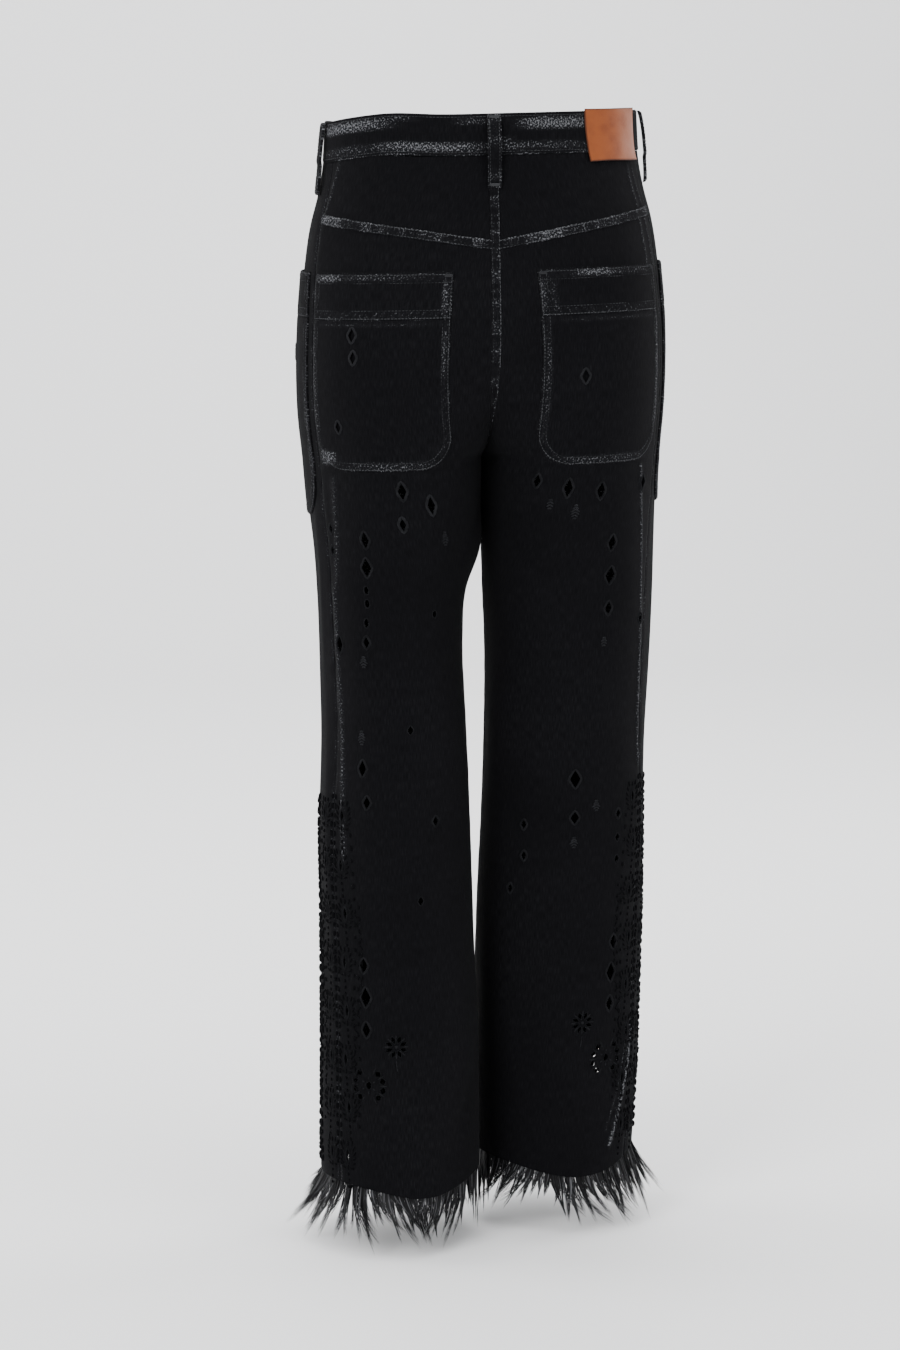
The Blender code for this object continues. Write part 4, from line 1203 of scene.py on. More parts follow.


# Crease tops are made pale, partly rubbed wear and partly a painted highlight; the soft, wide first and
# third left creases are mostly a painted highlight along a fold.
CREASES = {
    Side.LEFT: (
        Crease(((7, 455), (9, 561), (17, 714)), 3.8, 1.2, 0.4),
        Crease(((11, 44), (6, 70), (4, 92)), 2.4, 0.7, 0.34),
        Crease(((22, 345), (17, 400), (9, 452)), 4.4, 0.9, 0.3),
    ),
    Side.RIGHT: (
        Crease(((3, 905), (8, 950), (15, 985), (28, 1026)), 2.2, 1.7, 1.0),
        Crease(((11, 915), (20, 965), (34, 1010)), 1.6, 0.8, 0.3),
        Crease(((34, 340), (12, 470), (5, 640)), 2.0, 0.9, 0.72),
        Crease(((24, 54), (22, 92)), 2.0, 0.6, 0.36), Crease(((15, 57), (13, 90)), 2.0, 0.5, 0.30),
        Crease(((25, 104), (24, 146)), 1.9, 0.6, 0.42), Crease(((13, 102), (10, 150)), 2.2, 0.6, 0.36),
    ),
}


def crease_paths(side: Side) -> list[Array]:
    """The lines of one side's creases."""
    return [crease.line() for crease in CREASES[side]]


def creased(side: Side, flat: Array) -> tuple[Array, Array]:
    """Height and paleness of the creases (rubbed wear with a painted highlight): each falls off as
    exp(-(distance / spread)^2).

    Returns:
        The summed height, and the largest paleness (rubbed wear with a painted highlight), at each flat
        point of the back.
    """
    height, worn = np.zeros(len(flat)), np.zeros(len(flat))
    for crease in CREASES[side]:
        near = bell(edge_distance(flat, crease.line(), closed=False), crease.spread)
        height += crease.height * near
        # paleness of the crease top: rubbed wear with a painted highlight
        worn = np.maximum(worn, crease.wear * near)
    return height, worn


def ladder(along: Array, period: float, seed: float) -> Array:
    """Pale rungs where a sewn edge puckers: 0.2 to 1, a wandering sine cubed, along a seam."""
    phase = TURN * along / period + 2.2 * hash_noise(along / 17, seed)
    return 0.2 + 0.8 * (0.5 + 0.5 * np.sin(phase)) ** 1.6


def crumple(across: Array, drop: Array, seed: float) -> Array:
    """Soft uneven hand of the cloth, about -1 to 1: three slanted noises of growing pitch."""
    first = hash_noise(across / 24 + drop / 61 + 0.4 * np.sin(drop / 33), seed)
    second = hash_noise(drop / 43 - across / 70, seed + 3)
    third = hash_noise(across / 13 - drop / 47, seed + 7)
    return 0.45 * first + 0.4 * second * first + 0.3 * third * hash_noise(drop / 29, seed + 9)


@dataclass
class Rectangle:
    """A pocket's place on its panel, in flat points; corner rounds its two lower corners."""

    left: float
    right: float
    top: float
    bottom: float
    corner: float = 0.0

    def outline(self, step: float = 3.0) -> Array:
        """Its outline, evenly stepped, starting at the upper left corner."""
        path = np.concatenate([[(self.left, self.top)], self.cup(0.0, 0.0),
                               [(self.right, self.top)], [(self.left, self.top)]])
        return resampled(path, step)[:-1]

    def cup(self, inset: float, below: float) -> Array:
        """The path down one side, round the foot and up the other.

        Args:
            inset: mm in from the edge. below: how far below the top it starts and ends.

        Returns:
            Flat points.
        """
        radius = max(self.corner - inset, 0.6)
        turns = np.radians(np.linspace(0, 90, 9))
        c, s = radius - radius * np.cos(turns), radius - radius * np.sin(turns)
        low, left, right = self.bottom - inset, self.left + inset, self.right - inset
        top = self.top + below
        return np.concatenate([[(left, top)], pairs(left + c, low - s),
                               pairs(right - s, low - c), [(right, top)]])

    def holds(self, flat: Array, margin: float) -> Array:
        """1 inside the rectangle, fading to 0 a margin outside it."""
        x = np.maximum(self.left - flat[:, 0], flat[:, 0] - self.right)
        y = np.maximum(self.top - flat[:, 1], flat[:, 1] - self.bottom)
        return 1 - fade(np.maximum(x, y), 0, margin)


def pocket_place(form: Form, panel: Panel) -> Rectangle:
    """Where the pocket of a panel lies, its band included."""
    if panel is Panel.BACK:
        from_centre, width = (40.0, 146.0) if form.side is Side.LEFT else (39.0, 137.0)
        right = float(form.width(panel, np.array(148.0))) - from_centre
        return Rectangle(right - width, right, 148.0, 334.0, 34.0)
    return Rectangle(9.0, 157.0, 146.0, 382.0, 34.0)


@dataclass
class LegPanel:
    """A leg panel, cut through by its openings and worked round them in satin thread.

    It runs from the yoke seam or the waistband to the hem. step is the mesh's spacing.
    """

    form: Form
    panel: Panel
    step: float = 3.6
    satin: Satin = field(default_factory=Satin)

    def __post_init__(self) -> None:
        """Find the pocket's place, for the cloth lies flatter under it."""
        self.pocket = pocket_place(self.form, self.panel)
        self.seed = 2.0 * self.form.side.value + self.panel.value
        self.turn = self.form.side.value * self.panel.value

    @property
    def name(self) -> str:
        """The CAD node's name."""
        return f"{self.panel.word}_{self.form.side.word}"

    def top(self, parts: Array) -> Array:
        """Drop of the top edge at parts of the way across."""
        if self.panel is Panel.BACK:
            return yoke_drop(parts) + SEAM_GAP / 2
        turns = self.form.sweep(self.panel, parts, np.zeros(len(parts)))
        return self.form.waist_drop(turns) + BAND_HEIGHT + SEAM_GAP

    def outline(self) -> Array:
        """Outline from the top edge at the side seam, round by the centre and the hem."""
        parts, back = np.linspace(0, 1, 60), np.linspace(1, 0, 76)
        hem = self.form.hem_drop(self.form.sweep(self.panel, back, np.full(76, OUTSEAM)))
        return border(self.form, self.panel, pairs(parts, self.top(parts)), pairs(back, hem), self.step)

    def relief(self, flat: Array) -> Array:
        """Height of the cloth's own unevenness: sunk seams, puckers, creases, crumples."""
        across, drop = flat.T
        height = 0.42 * crumple(across, drop, self.seed)
        centre = self.form.width(self.panel, drop) - across
        for away, seed in ((np.abs(across), 1.0), (centre, 5.0)):
            height += 0.3 * bell(away - 6, 4) - 0.6 * bell(away, 1.8)
            height += 0.28 * hash_noise(drop / 6.5, seed + self.seed) * np.exp(-away / 9)
        if self.panel is Panel.BACK:
            height += creased(self.form.side, flat)[0]
        height += 0.25 * hash_noise(across / 9, 4.0) * np.exp(-np.abs(OUTSEAM - drop) / 14)
        under = self.pocket.holds(flat, 10.0)
        return height * (1 - under) + np.clip(height, -0.8, 0.25) * under

    def layer(self, flat: Array, lift: Amount) -> Array:
        """Places on the panel's face, its relief included."""
        return self.form.laid(self.panel, flat, self.relief(flat) + lift)

    def wear(self, flat: Array) -> Array:
        """How pale the cloth is: rubbed places, seam edges, and the tops of creases (rubbed wear with a
        painted highlight).
        """
        across, drop = flat.T
        worn = rubbed(self.form.side, self.panel, flat)
        ragged = 0.75 + 0.5 * hash_noise(drop / 11, self.seed)
        for away in (np.abs(across), self.form.width(self.panel, drop) - across):
            worn = np.maximum(worn, 0.26 * ragged * bell(away - 2.0, 2.4))
        if self.panel is Panel.BACK:
            # crease tops: rubbed wear with a painted highlight
            worn = np.maximum(worn, creased(self.form.side, flat)[1])
        far = edge_distance(flat, self.pocket.outline(6.0))
        return np.clip(np.maximum(worn, 0.2 * bell(far, 1.6)), 0, 1)

    def build(self, wardrobe: Wardrobe) -> None:
        """Cut, drape and close the panel."""
        back = self.panel is Panel.BACK
        flat, faces, area = cut_sheet(self.outline(), leg_openings(self.form.side, self.panel),
                                      self.step, crease_paths(self.form.side) if back else ())
        relief, worn = self.relief(flat), self.wear(flat)
        work = Patchwork()
        work.wall(self.form.laid(self.panel, flat, relief),
                  self.form.laid(self.panel, flat, relief - CLOTH), faces,
                  flat * (self.turn, 1), worn, np.maximum(worn, REVERSE_WEAR))
        piece = work.make(self.name + "_cloth", wardrobe.denim, "denim", self.name)
        size = np.ptp(flat, axis=0) * MM
        hung_from = f"yoke_{self.form.side.word}_cloth" if back else "waistband_cloth"

    def embroider(self, wardrobe: Wardrobe) -> None:
        """Work rims round every opening, the thread-only marks, and the bands of leaves."""
        work, side = Patchwork(), self.form.side
        # Each rim's painted sheen, passed to it as wear; 0.3 for the flower, wheel, hub and slits.
        shines = [cut.shine for cut in OPENINGS[side, self.panel]]
        for hole, shine in zip_longest(leg_openings(side, self.panel), shines, fillvalue=0.3):
            rim = self.satin if np.ptp(hole, axis=0).max() > 9.5 else Satin(0.9, 0.5)
            rim = Satin(2.2, 0.9) if shine > 0.5 else rim
            rim.edge(work, self.layer, hole, shine)
        for mark in MARKS[side] if self.panel is Panel.BACK else ():
            self.fill_mark(work, mark)
        self.flower(work)
        self.side_band(work)
        work.make(self.name + "_embroidery", wardrobe.satin, "denim")

    def fill_mark(self, work: Patchwork, mark: Opening) -> None:
        """A diamond worked in thread only: slanted leaves, shorter toward both ends, made pale to paint
        the padded satin's sheen.
        """
        rows = []
        for t in np.linspace(-1, 1, 2 * max(int(mark.height / 2.4), 4) + 1)[1::2]:
            length = mark.width * (1 - abs(t)) * 0.62 + 1.6
            rows += [(mark.across + side * length * 0.32, mark.drop + t * mark.height / 2, length,
                      2.0, side * math.radians(58), 0.75) for side in (-1, 1)]
        # wear 0.7: a painted sheen on the padded leaves
        self.satin.leaves(work, self.layer, rows, 0.7)

    def flower(self, work: Patchwork) -> None:
        """The flower's leaves between its openings, its eye and stem, and the wheel's leaves."""
        across, drop = FLOWER_ACROSS[self.panel], FLOWER_DROP
        rows = leaf_ring(across, drop, (9.2, 9.2), range(0, 360, 45), (5.4, 1.7, 0.7))
        rows += [(across, drop, 3.4, 3.4, 0.0, 1.0)]
        rows += [(across + 0.3 * k, drop + 15.5 + 3.4 * k, 4.2, 1.5, 0.1, 0.7) for k in range(3)]
        across, drop = WHEEL_ACROSS[self.panel], WHEEL_DROP[self.panel]
        rows += leaf_ring(across, drop, (6.6, 7.2), range(0, 360, 60), (3.0, 1.6, 0.7))
        for first in (24, 204):
            turns = range(first, first + 133, 33)
            rows += leaf_ring(across, drop, (15.5, 15.5), turns, (8.0, 1.4, 0.6))
        self.satin.leaves(work, self.layer, rows, 0.5)

    def side_band(self, work: Patchwork) -> None:
        """Herringbone leaves and rows of dots beside the side seam, from the knee to the hem."""
        chance = np.random.default_rng(31 + int(self.seed))
        rows: list[tuple[float, ...]] = []
        for k in range(SIDE_SLIT_COUNT):
            across = SIDE_SLIT_ACROSS[k % 2]
            middle = SIDE_SLIT_FIRST + SIDE_SLIT_PITCH * k
            for t in (-1.0, -0.6, -0.2, 0.2, 0.6, 1.0):
                out = 5.4 + 3.0 * (1 - t * t)
                rows += [(across + side * out, middle + t * 12.5, 5.6 + chance.uniform(-0.6, 0.6),
                          2.1, side * (2.35 - 0.5 * t), 0.95) for side in (-1, 1)]
            rows += [(across, middle + away, 5.0, 2.2, 0.0, 0.9) for away in (12.0, -12.0)]
            rows += [(across + 0.8 * math.sin(j), middle + 18.5 + 6.2 * j, 3.2, 3.2, 0.0, 1.2)
                     for j in range(3)]
        for across, first, last, pitch, size in (
                (2.6, 655, 1022, 9.0, 4.4), (25.5, 690, 985, 12.5, 3.4), (30.5, 760, 930, 11.5, 2.9)):
            for k, drop in enumerate(np.arange(first, last, pitch)):
                wander = 1.8 * math.sin(drop / 37) if across > 20 else 0.0
                grown = size * (1 + 0.22 * math.sin(k * 2.1))
                rows.append((across + wander, drop, grown * 1.25, grown, 0.35 * math.sin(k), 1.35))
        for k, drop in enumerate(np.arange(770, 960, 7.5)):
            phase = (drop - 770) / 31
            rows.append((29 + 5.5 * math.sin(phase), drop, 6.2, 1.8,
                         0.9 * math.cos(phase) * (-1) ** k, 0.85))
        front = ((38, 660, 8.6), (44, 664, 9.8), (50, 690, 9.0), (56, 668, 10.4), (61, 740, 12.0))
        for across, first, pitch in front if self.panel is Panel.FRONT else ():
            for k, drop in enumerate(np.arange(first, 1024, pitch)):
                grown = 4.6 * (1 + 0.34 * math.sin(k * 1.7 + across))
                rows.append((across + 1.6 * math.sin(drop / 29), drop, grown * 1.3, grown,
                             0.5 * math.sin(k * 2.3), 2.1))
        self.satin.leaves(work, self.layer, rows, 0.12)


@dataclass
class Yoke:
    """The back yoke, between the waistband and the seam that shapes the seat."""

    form: Form
    step: float = 3.0

    def relief(self, flat: Array) -> Array:
        """Height of its unevenness: sunk at the side and centre seams, softly crumpled."""
        across, drop = flat[:, 0], flat[:, 1]
        centre = self.form.width(Panel.BACK, drop) - across
        height = 0.4 * crumple(across, drop, 4.0 + self.form.side.value)
        for away in (np.abs(across), centre):
            height = height - 0.6 * bell(away, 1.8)
        height -= 0.35 * bell(drop - 40.5, 3)
        return height + creased(self.form.side, flat)[0]

    def layer(self, flat: Array, lift: Amount) -> Array:
        """Places on the yoke's face."""
        return self.form.laid(Panel.BACK, flat, self.relief(flat) + lift)

    def build(self, wardrobe: Wardrobe) -> None:
        """Cut and close the yoke."""
        form, side = self.form, self.form.side
        parts = np.linspace(0, 1, 60)
        top = form.waist_drop(form.sweep(Panel.BACK, parts, np.zeros(60))) + BAND_HEIGHT + SEAM_GAP
        low = yoke_drop(parts) - SEAM_GAP / 2
        outline = border(form, Panel.BACK, pairs(parts, top), pairs(parts, low)[::-1], self.step)
        flat, faces, area = cut_sheet(outline, [], self.step, crease_paths(side))
        # rubbed places, and crease tops paled by wear with a painted highlight
        worn = np.maximum(rubbed(side, Panel.BACK, flat), creased(side, flat)[1])
        height = self.relief(flat)
        work = Patchwork()
        work.wall(form.laid(Panel.BACK, flat, height), form.laid(Panel.BACK, flat, height - CLOTH),
                  faces, flat * (side.value, 1), worn)
        name = f"yoke_{side.word}"
        piece = work.make(name + "_cloth", wardrobe.denim, "denim", name)
        tuple(np.ptp(flat, axis=0) * MM)


@dataclass
class Waistband:
    """The band round the waist, open at the centre front, rounded along both edges."""

    forms: dict[Side, Form]
    height: float = BAND_HEIGHT
    columns: int = 170
    rows: tuple[float, float] = (3.0, 36.2)

    def across(self, side: Side, turns: Array) -> Array:
        """Distances along the band from the side seam, negative toward the front."""
        form = self.forms[side]
        fine = np.linspace(-math.pi, math.pi, 721)
        x, y = form.section(fine, np.full(721, 20.0))
        along = np.concatenate([[0], np.cumsum(np.hypot(np.diff(x), np.diff(y)))])
        seam = np.interp(float(np.radians(form.value("seam", np.array(20.0)))), fine, along)
        return np.interp(turns, fine, along) - seam

    def turn(self, side: Side, across: Array) -> Array:
        """Angles of distances along the band."""
        fine = np.linspace(-math.pi, math.pi, 721)
        return np.interp(across, self.across(side, fine), fine)

    def layer(self, side: Side) -> Layer:
        """Places on one half of the band: flat points are (distance along, drop on the band)."""
        form = self.forms[side]

        def places(flat: Array, lift: Amount) -> Array:
            """Points at flat places, raised by the band's own relief and a lift."""
            turns = self.turn(side, flat[:, 0])
            down = form.waist_drop(turns) + flat[:, 1]
            return form.point(turns, down, BAND_PROUD + self.relief(side, flat) + lift)
        return places

    def relief(self, side: Side, flat: Array) -> Array:
        """Height of the band: rolled edges, puckers along both rows of thread, a soft ripple."""
        across, down = flat[:, 0], flat[:, 1]
        seed = float(side.value)
        height = -1.1 * bell(down, 0.9) - 0.9 * bell(self.height - down, 0.8)
        for row in self.rows:
            ripple = hash_noise(across / 4.6, seed + row)
            height += (0.24 * ripple - 0.22) * bell(down - row, 2.6)
        height += 0.3 * crumple(across * 1.3, down * 2.0, seed + 2)
        return height

    def wear(self, side: Side, flat: Array) -> Array:
        """Rubbed places, and a pale line along the lower edge."""
        worn = np.maximum(rubbed(side, Panel.BACK, np.where(flat[:, :1] > 0, flat, (0, -99))),
                          rubbed(side, Panel.FRONT, np.where(flat[:, :1] <= 0,
                                                            flat * (-1, 1), (0, -99))))
        ragged = 0.7 + 0.6 * hash_noise(flat[:, 0] / 13, 8.0)
        line = 0.62 * ragged * bell(flat[:, 1] - self.height + 0.6, 0.9)
        rungs = 0.42 * ladder(flat[:, 0], 8.0, 5.0) * np.exp(-((flat[:, 1] - 31.5) / 4.0) ** 4)
        line = np.maximum(line, rungs)
        top = 0.24 * ragged * bell(flat[:, 1] - 0.5, 0.9)
        return np.clip(np.maximum(worn, np.maximum(line, top)), 0, 1)

    def build(self, wardrobe: Wardrobe) -> None:
        """Build both halves, meeting at the centre back, as one strip."""
        down = np.concatenate([[0, 0.5, 1.1], np.linspace(2.0, self.height - 2, 16),
                               [self.height - 1.1, self.height - 0.5, self.height]])
        outside, inside, flats, worn = [], [], [], []
        for side in (Side.LEFT, Side.RIGHT):
            ends = self.across(side, np.array([-math.pi, math.pi]))
            across = np.linspace(*ends, self.columns)
            across = across if side is Side.LEFT else across[::-1][1:]
            flat = np.stack(np.meshgrid(across, down, indexing="ij"), -1).reshape(-1, 2)
            outside.append(self.layer(side)(flat, 0.0))
            inside.append(self.layer(side)(flat, -BAND_PROUD - CLOTH))
            worn.append(self.wear(side, flat))
            flats.append(flat * (side.value, 1) + ((0 if side is Side.LEFT else 2 * ends[1]), 0))
        face = np.concatenate(outside)
        rows, columns = len(face) // len(down), len(down)
        work = Patchwork()
        work.wall(face, np.concatenate(inside), triangles(rows, columns), np.concatenate(flats),
                  np.concatenate(worn))
        piece = work.make("waistband_cloth", wardrobe.denim, "denim", "waistband")
        middle = face.reshape(rows, columns, 3)[:, columns // 2, :2]
        length = np.hypot(*np.diff(middle, axis=0).T).sum()

    def sew(self, wardrobe: Wardrobe) -> None:
        """Sew a row of stitches along each edge."""
        work = Patchwork()
        stitch = Stitching(pitch=3.4, length=2.6, thread=0.26, proud=0.16)
        for side in Side:
            ends = self.across(side, np.array([-math.pi + 0.03, math.pi]))
            for row in self.rows:
                stitch.sew(work, self.layer(side), pairs(np.linspace(*ends, 60), row), 0.0, 0.3)
        work.make("waistband_stitching", wardrobe.topstitch, "denim")


def across_centre(forms: dict[Side, Form], panel: Panel) -> Layer:
    """Places on both sides of a centre seam: flat points are (distance to its left, drop)."""
    def places(flat: Array, lift: Amount) -> Array:
        """Points on whichever half each flat point falls on."""
        lift = np.broadcast_to(lift, len(flat))
        spots = np.zeros((len(flat), 3))
        for side, form in forms.items():
            here = (flat[:, 0] > 0) == (side is Side.LEFT)
            drop = flat[here, 1]
            across = form.width(panel, drop) - np.abs(flat[here, 0])
            spots[here] = form.laid(panel, pairs(across, drop), lift[here])
        return spots
    return places


@dataclass
class Seams:
    """The raised seams of the back and their rows of thread."""

    forms: dict[Side, Form]
    welt: Welt = field(default_factory=Welt)

    def yoke_path(self, form: Form, below: float) -> Array:
        """A line along the yoke seam, a distance below it."""
        parts = np.linspace(0.004, 0.985, 60)
        drop = yoke_drop(parts) + below
        return pairs(parts * form.width(Panel.BACK, drop), drop)

    def build(self, wardrobe: Wardrobe) -> None:
        """Lay the welts and sew their rows."""
        cloth, thread = Patchwork(), Patchwork()
        stitch = Stitching(pitch=3.5, length=2.5, thread=0.26, proud=0.2)
        for side, form in self.forms.items():
            def layer(flat: Array, lift: Amount, form: Form = form) -> Array:
                """Places on the back of this side."""
                return form.laid(Panel.BACK, flat, lift)

            def worn(flat: Array, side: Side = side) -> Array:
                """Rubbed places, on a ragged grey ground."""
                worn = 0.27 * ladder(flat[:, 0], 6.6, 3.0)
                ragged = 0.82 + 0.4 * hash_noise(flat[:, 0] / 3.7, 6.0)
                for across, half, strength in YOKE_RUBS[side]:
                    near = strength * bell(flat[:, 0] - across, half)
                    worn = np.maximum(worn, near * ragged)
                return worn
            self.welt.lay(cloth, layer, self.yoke_path(form, 4.4), 0.12, worn, 4.0 + side.value)
            for below, wear in ((0.9, 0.6), (8.0, 0.3)):
                stitch.sew(thread, layer, self.yoke_path(form, below), 0.85, wear)

        over_centre = across_centre(self.forms, Panel.BACK)
        centre = Welt(width=8.6, thickness=0.8, pucker=0.3, period=11.0, pale=1)
        drops = np.linspace(40.5, 306.0, 60)
        centre.lay(cloth, over_centre, pairs(0.6, drops), 0.35,
                   lambda flat: (0.24 * ladder(flat[:, 1], 8.5, 6.0)
                                 * (1 - fade(flat[:, 1], 215, 262))), 9.0)
        for place, wear in ((-3.2, 0.5), (3.4, 0.16)):
            for run, share in ((drops[:44], 1.0), (drops[44:], 0.1)):
                stitch.sew(thread, over_centre, pairs(place, run), 1.0, wear * share)
        cloth.make("back_seam_welts", wardrobe.denim, "denim")
        thread.make("back_seam_stitching", wardrobe.topstitch, "denim")


@dataclass
class PatchPocket:
    """A patch pocket: a bag with rounded lower corners under a strip across its mouth."""

    leg: LegPanel
    band: float = POCKET_BAND
    step: float = 2.9
    rows: tuple[float, float] = (1.4, 7.6)

    def __post_init__(self) -> None:
        """Take the place from the leg panel under it."""
        self.place = self.leg.pocket
        self.form, self.panel = self.leg.form, self.leg.panel

    def lift(self, flat: Array) -> Array:
        """Height of the inner face over the leg: least round the seams, most at the mouth."""
        place = self.place
        across = np.clip((flat[:, 0] - place.left) / (place.right - place.left), 0, 1)
        down = np.clip((flat[:, 1] - place.top) / (place.bottom - place.top), 0, 1)
        return 1.0 + 1.3 * np.sin(math.pi * across) * (1 - down) ** 2

    def relief(self, flat: Array) -> Array:
        """Height of the outer face's own unevenness."""
        edge = edge_distance(flat, self.place.outline(5.0))
        seed = 20.0 + self.leg.seed
        height = -0.75 * bell(edge, 1.0) + 0.26 * bell(edge - 4.2, 2.4)
        ripple = hash_noise((flat[:, 0] + flat[:, 1]) / 5.2, seed)
        height += 0.24 * ripple * bell(edge - 4.5, 4)
        middle = fade(edge, 7, 22)
        height += 0.5 * middle * crumple(flat[:, 0], flat[:, 1], seed)
        height -= 0.4 * bell(flat[:, 1] - self.place.top - self.band, 1.5)
        return height

    def layer(self, flat: Array, lift: Amount) -> Array:
        """Places on the pocket's face."""
        return self.form.laid(self.panel, flat,
                              self.lift(flat) + POCKET_CLOTH + self.relief(flat) + lift)

    def wear(self, flat: Array) -> Array:
        """Rubbed places, and grey along the edges and either side of the strip's seam."""
        place = self.place
        edge = edge_distance(flat, place.outline(5.0))
        ragged = 0.75 + 0.5 * hash_noise((flat[:, 0] - flat[:, 1]) / 10, self.leg.seed)
        worn = rubbed(self.form.side, self.panel, flat)
        rungs = ladder(flat[:, 0] + flat[:, 1], 7.2, self.leg.seed)
        worn = np.maximum(worn, 0.4 * ragged * bell(edge, 1.3))
        worn = np.maximum(worn, 0.27 * rungs * np.exp(-((edge - 5.0) / 3.8) ** 4))
        seam = flat[:, 1] - place.top - self.band
        worn = np.maximum(worn, 0.46 * ragged * bell(seam + 0.6, 1.0))
        return np.clip(np.maximum(worn, 0.32 * rungs * np.exp(-((seam + 5.0) / 4.2) ** 4)), 0, 1)

    def build(self, wardrobe: Wardrobe) -> None:
        """Build the strip, the bag, and the thread that holds them."""
        place, mouth = self.place, self.place.top + self.band
        strip = Rectangle(place.left, place.right, place.top, mouth)
        bag = Rectangle(place.left, place.right, mouth + SEAM_GAP, place.bottom, place.corner)
        holes = [opening_outline(cut) for cut in POCKET_OPENINGS[self.form.side, self.panel]]
        word = f"{self.panel.word}_pocket"
        for part, cut, name in ((strip, [], f"{word}_band_{self.form.side.word}"),
                                (bag, holes, f"{word}_{self.form.side.word}")):
            flat, faces, area = cut_sheet(part.outline(), cut, self.step)
            low = self.lift(flat) + np.minimum(self.relief(flat) * 0.5, 0.3)
            work = Patchwork()
            work.wall(self.layer(flat, 0.0), self.form.laid(self.panel, flat, low), faces,
                      flat * (self.leg.turn, 1), self.wear(flat))
            piece = work.make(name + "_cloth", wardrobe.denim, "denim", name)
            tuple(np.ptp(flat, axis=0) * MM)
            self.leg.name + "_cloth"
        self.sew(wardrobe, holes)

    def sew(self, wardrobe: Wardrobe, holes: Sequence[Array]) -> None:
        """Two rows round the bag, two along the strip's seam, one at the mouth, bar tacks."""
        place, mouth = self.place, self.place.top + self.band
        work = Patchwork()
        stitch = Stitching(pitch=3.3, length=2.4, thread=0.25, proud=0.14)
        for inset, wear in zip(self.rows, (0.5, 0.16)):
            stitch.sew(work, self.layer, place.cup(inset, 0.4), 0.0, wear)
        for drop, wear in ((place.top + 1.5, 0.4), (place.top + 9.0, 0.12), (mouth - 1.3, 0.5),
                           (mouth - 8.6, 0.2)):
            path = pairs(np.linspace(place.left + 1.2, place.right - 1.2, 40), drop)
            stitch.sew(work, self.layer, path, 0.0, wear)
        satin = Satin()
        bars = [(x, place.top + 1.8 + 0.9 * k, 8.0, 1.1, math.pi / 2, 0.7)
                for x in (place.left + 5.0, place.right - 5.0) for k in range(3)]
        satin.leaves(work, self.layer, bars, 0.2)
        for hole in holes:
            satin.edge(work, self.layer, hole, 0.06)
        work.make(f"{self.panel.word}_pocket_thread_{self.form.side.word}", wardrobe.topstitch, "denim")


@dataclass
class BeltLoop:
    """A strap folded in three, tacked at both ends and bowed out between them."""

    name: str
    form: Form
    turn: float
    width: float = 13.0
    length: float = 69.0
    thickness: float = 2.0
    bow: float = 5.0

    def layer(self, flat: Array, lift: Amount) -> Array:
        """Places on the strap's outer face: flat points are (across, along) from its top."""
        share = np.clip(flat[:, 1] / self.length, 0, 1)
        drop = self.form.waist_drop(np.array(self.turn)) + 1.0 + self.length * share
        seat = BAND_PROUD * (1 - fade(drop, BAND_HEIGHT + 2, BAND_HEIGHT + 8)) + 1.2 * SEAM_GAP
        high = seat + self.bow * np.clip(np.sin(math.pi * share), 0, 1) ** 0.6 + self.thickness
        turns = np.full(share.shape, self.turn)
        normal = self.form.normal(turns, drop)
        side = np.cross(normal, (0.0, 0.0, 1.0))
        side /= np.linalg.norm(side, axis=1, keepdims=True)
        middle = self.form.point(turns, drop)
        if abs(abs(self.turn) - math.pi) < 0.1:
            middle[:, 0] = 0.0
        return middle + normal * (high + lift)[:, None] + side * flat[:, :1]

    def build(self, wardrobe: Wardrobe) -> None:
        """Build the strap, its two rows of thread and its bar tacks."""
        half = self.width / 2
        across = half * np.array([-1, -0.97, -0.88, -0.7, -0.35, 0, 0.35, 0.7, 0.88, 0.97, 1])
        along = np.linspace(0, self.length, 64)
        flat = np.stack(np.meshgrid(along, across, indexing="ij"), -1)[..., ::-1].reshape(-1, 2)
        share = np.abs(flat[:, 0]) / half
        seed = self.turn * 3 + self.form.side.value
        ripple = 0.2 * hash_noise(flat[:, 1] / 4.2, seed) + 0.15 * hash_noise(
            flat[:, 1] / 9 + flat[:, 0] / 6, seed + 3)
        height = -0.62 * share ** 10 + ripple - 0.22 * bell(share - 0.7, 0.12)
        end = np.minimum(flat[:, 1], self.length - flat[:, 1])
        height -= 0.5 * bell(end, 1.0)
        inner = -self.thickness + 0.35 * share ** 10
        worn = 0.14 + 0.26 * share ** 6 + 0.2 * hash_noise(flat[:, 1] / 6, seed)
        worn += 0.4 * bell(end, 3.0)
        cloth, thread = Patchwork(), Patchwork()
        cloth.wall(self.layer(flat, height), self.layer(flat, inner), triangles(64, len(across)),
                   flat, np.clip(worn, 0, 1))
        stitch = Stitching(pitch=3.2, length=2.3, thread=0.25, proud=0.1)
        for x in (-4.5, 4.5):
            path = pairs(x, np.linspace(2, self.length - 2, 30))
            stitch.sew(thread, self.layer, path, -0.1, 0.4)
        bars = [(0.0, y + 0.8 * k, 10.5, 1.0, math.pi / 2, 0.4)
                for y in (1.9, self.length - 3.5) for k in range(3)]
        Satin().leaves(thread, self.layer, bars, 0.35)
        piece = cloth.make(self.name + "_strap", wardrobe.denim, "denim", self.name)
        thread.make(self.name + "_thread", wardrobe.topstitch, "denim")


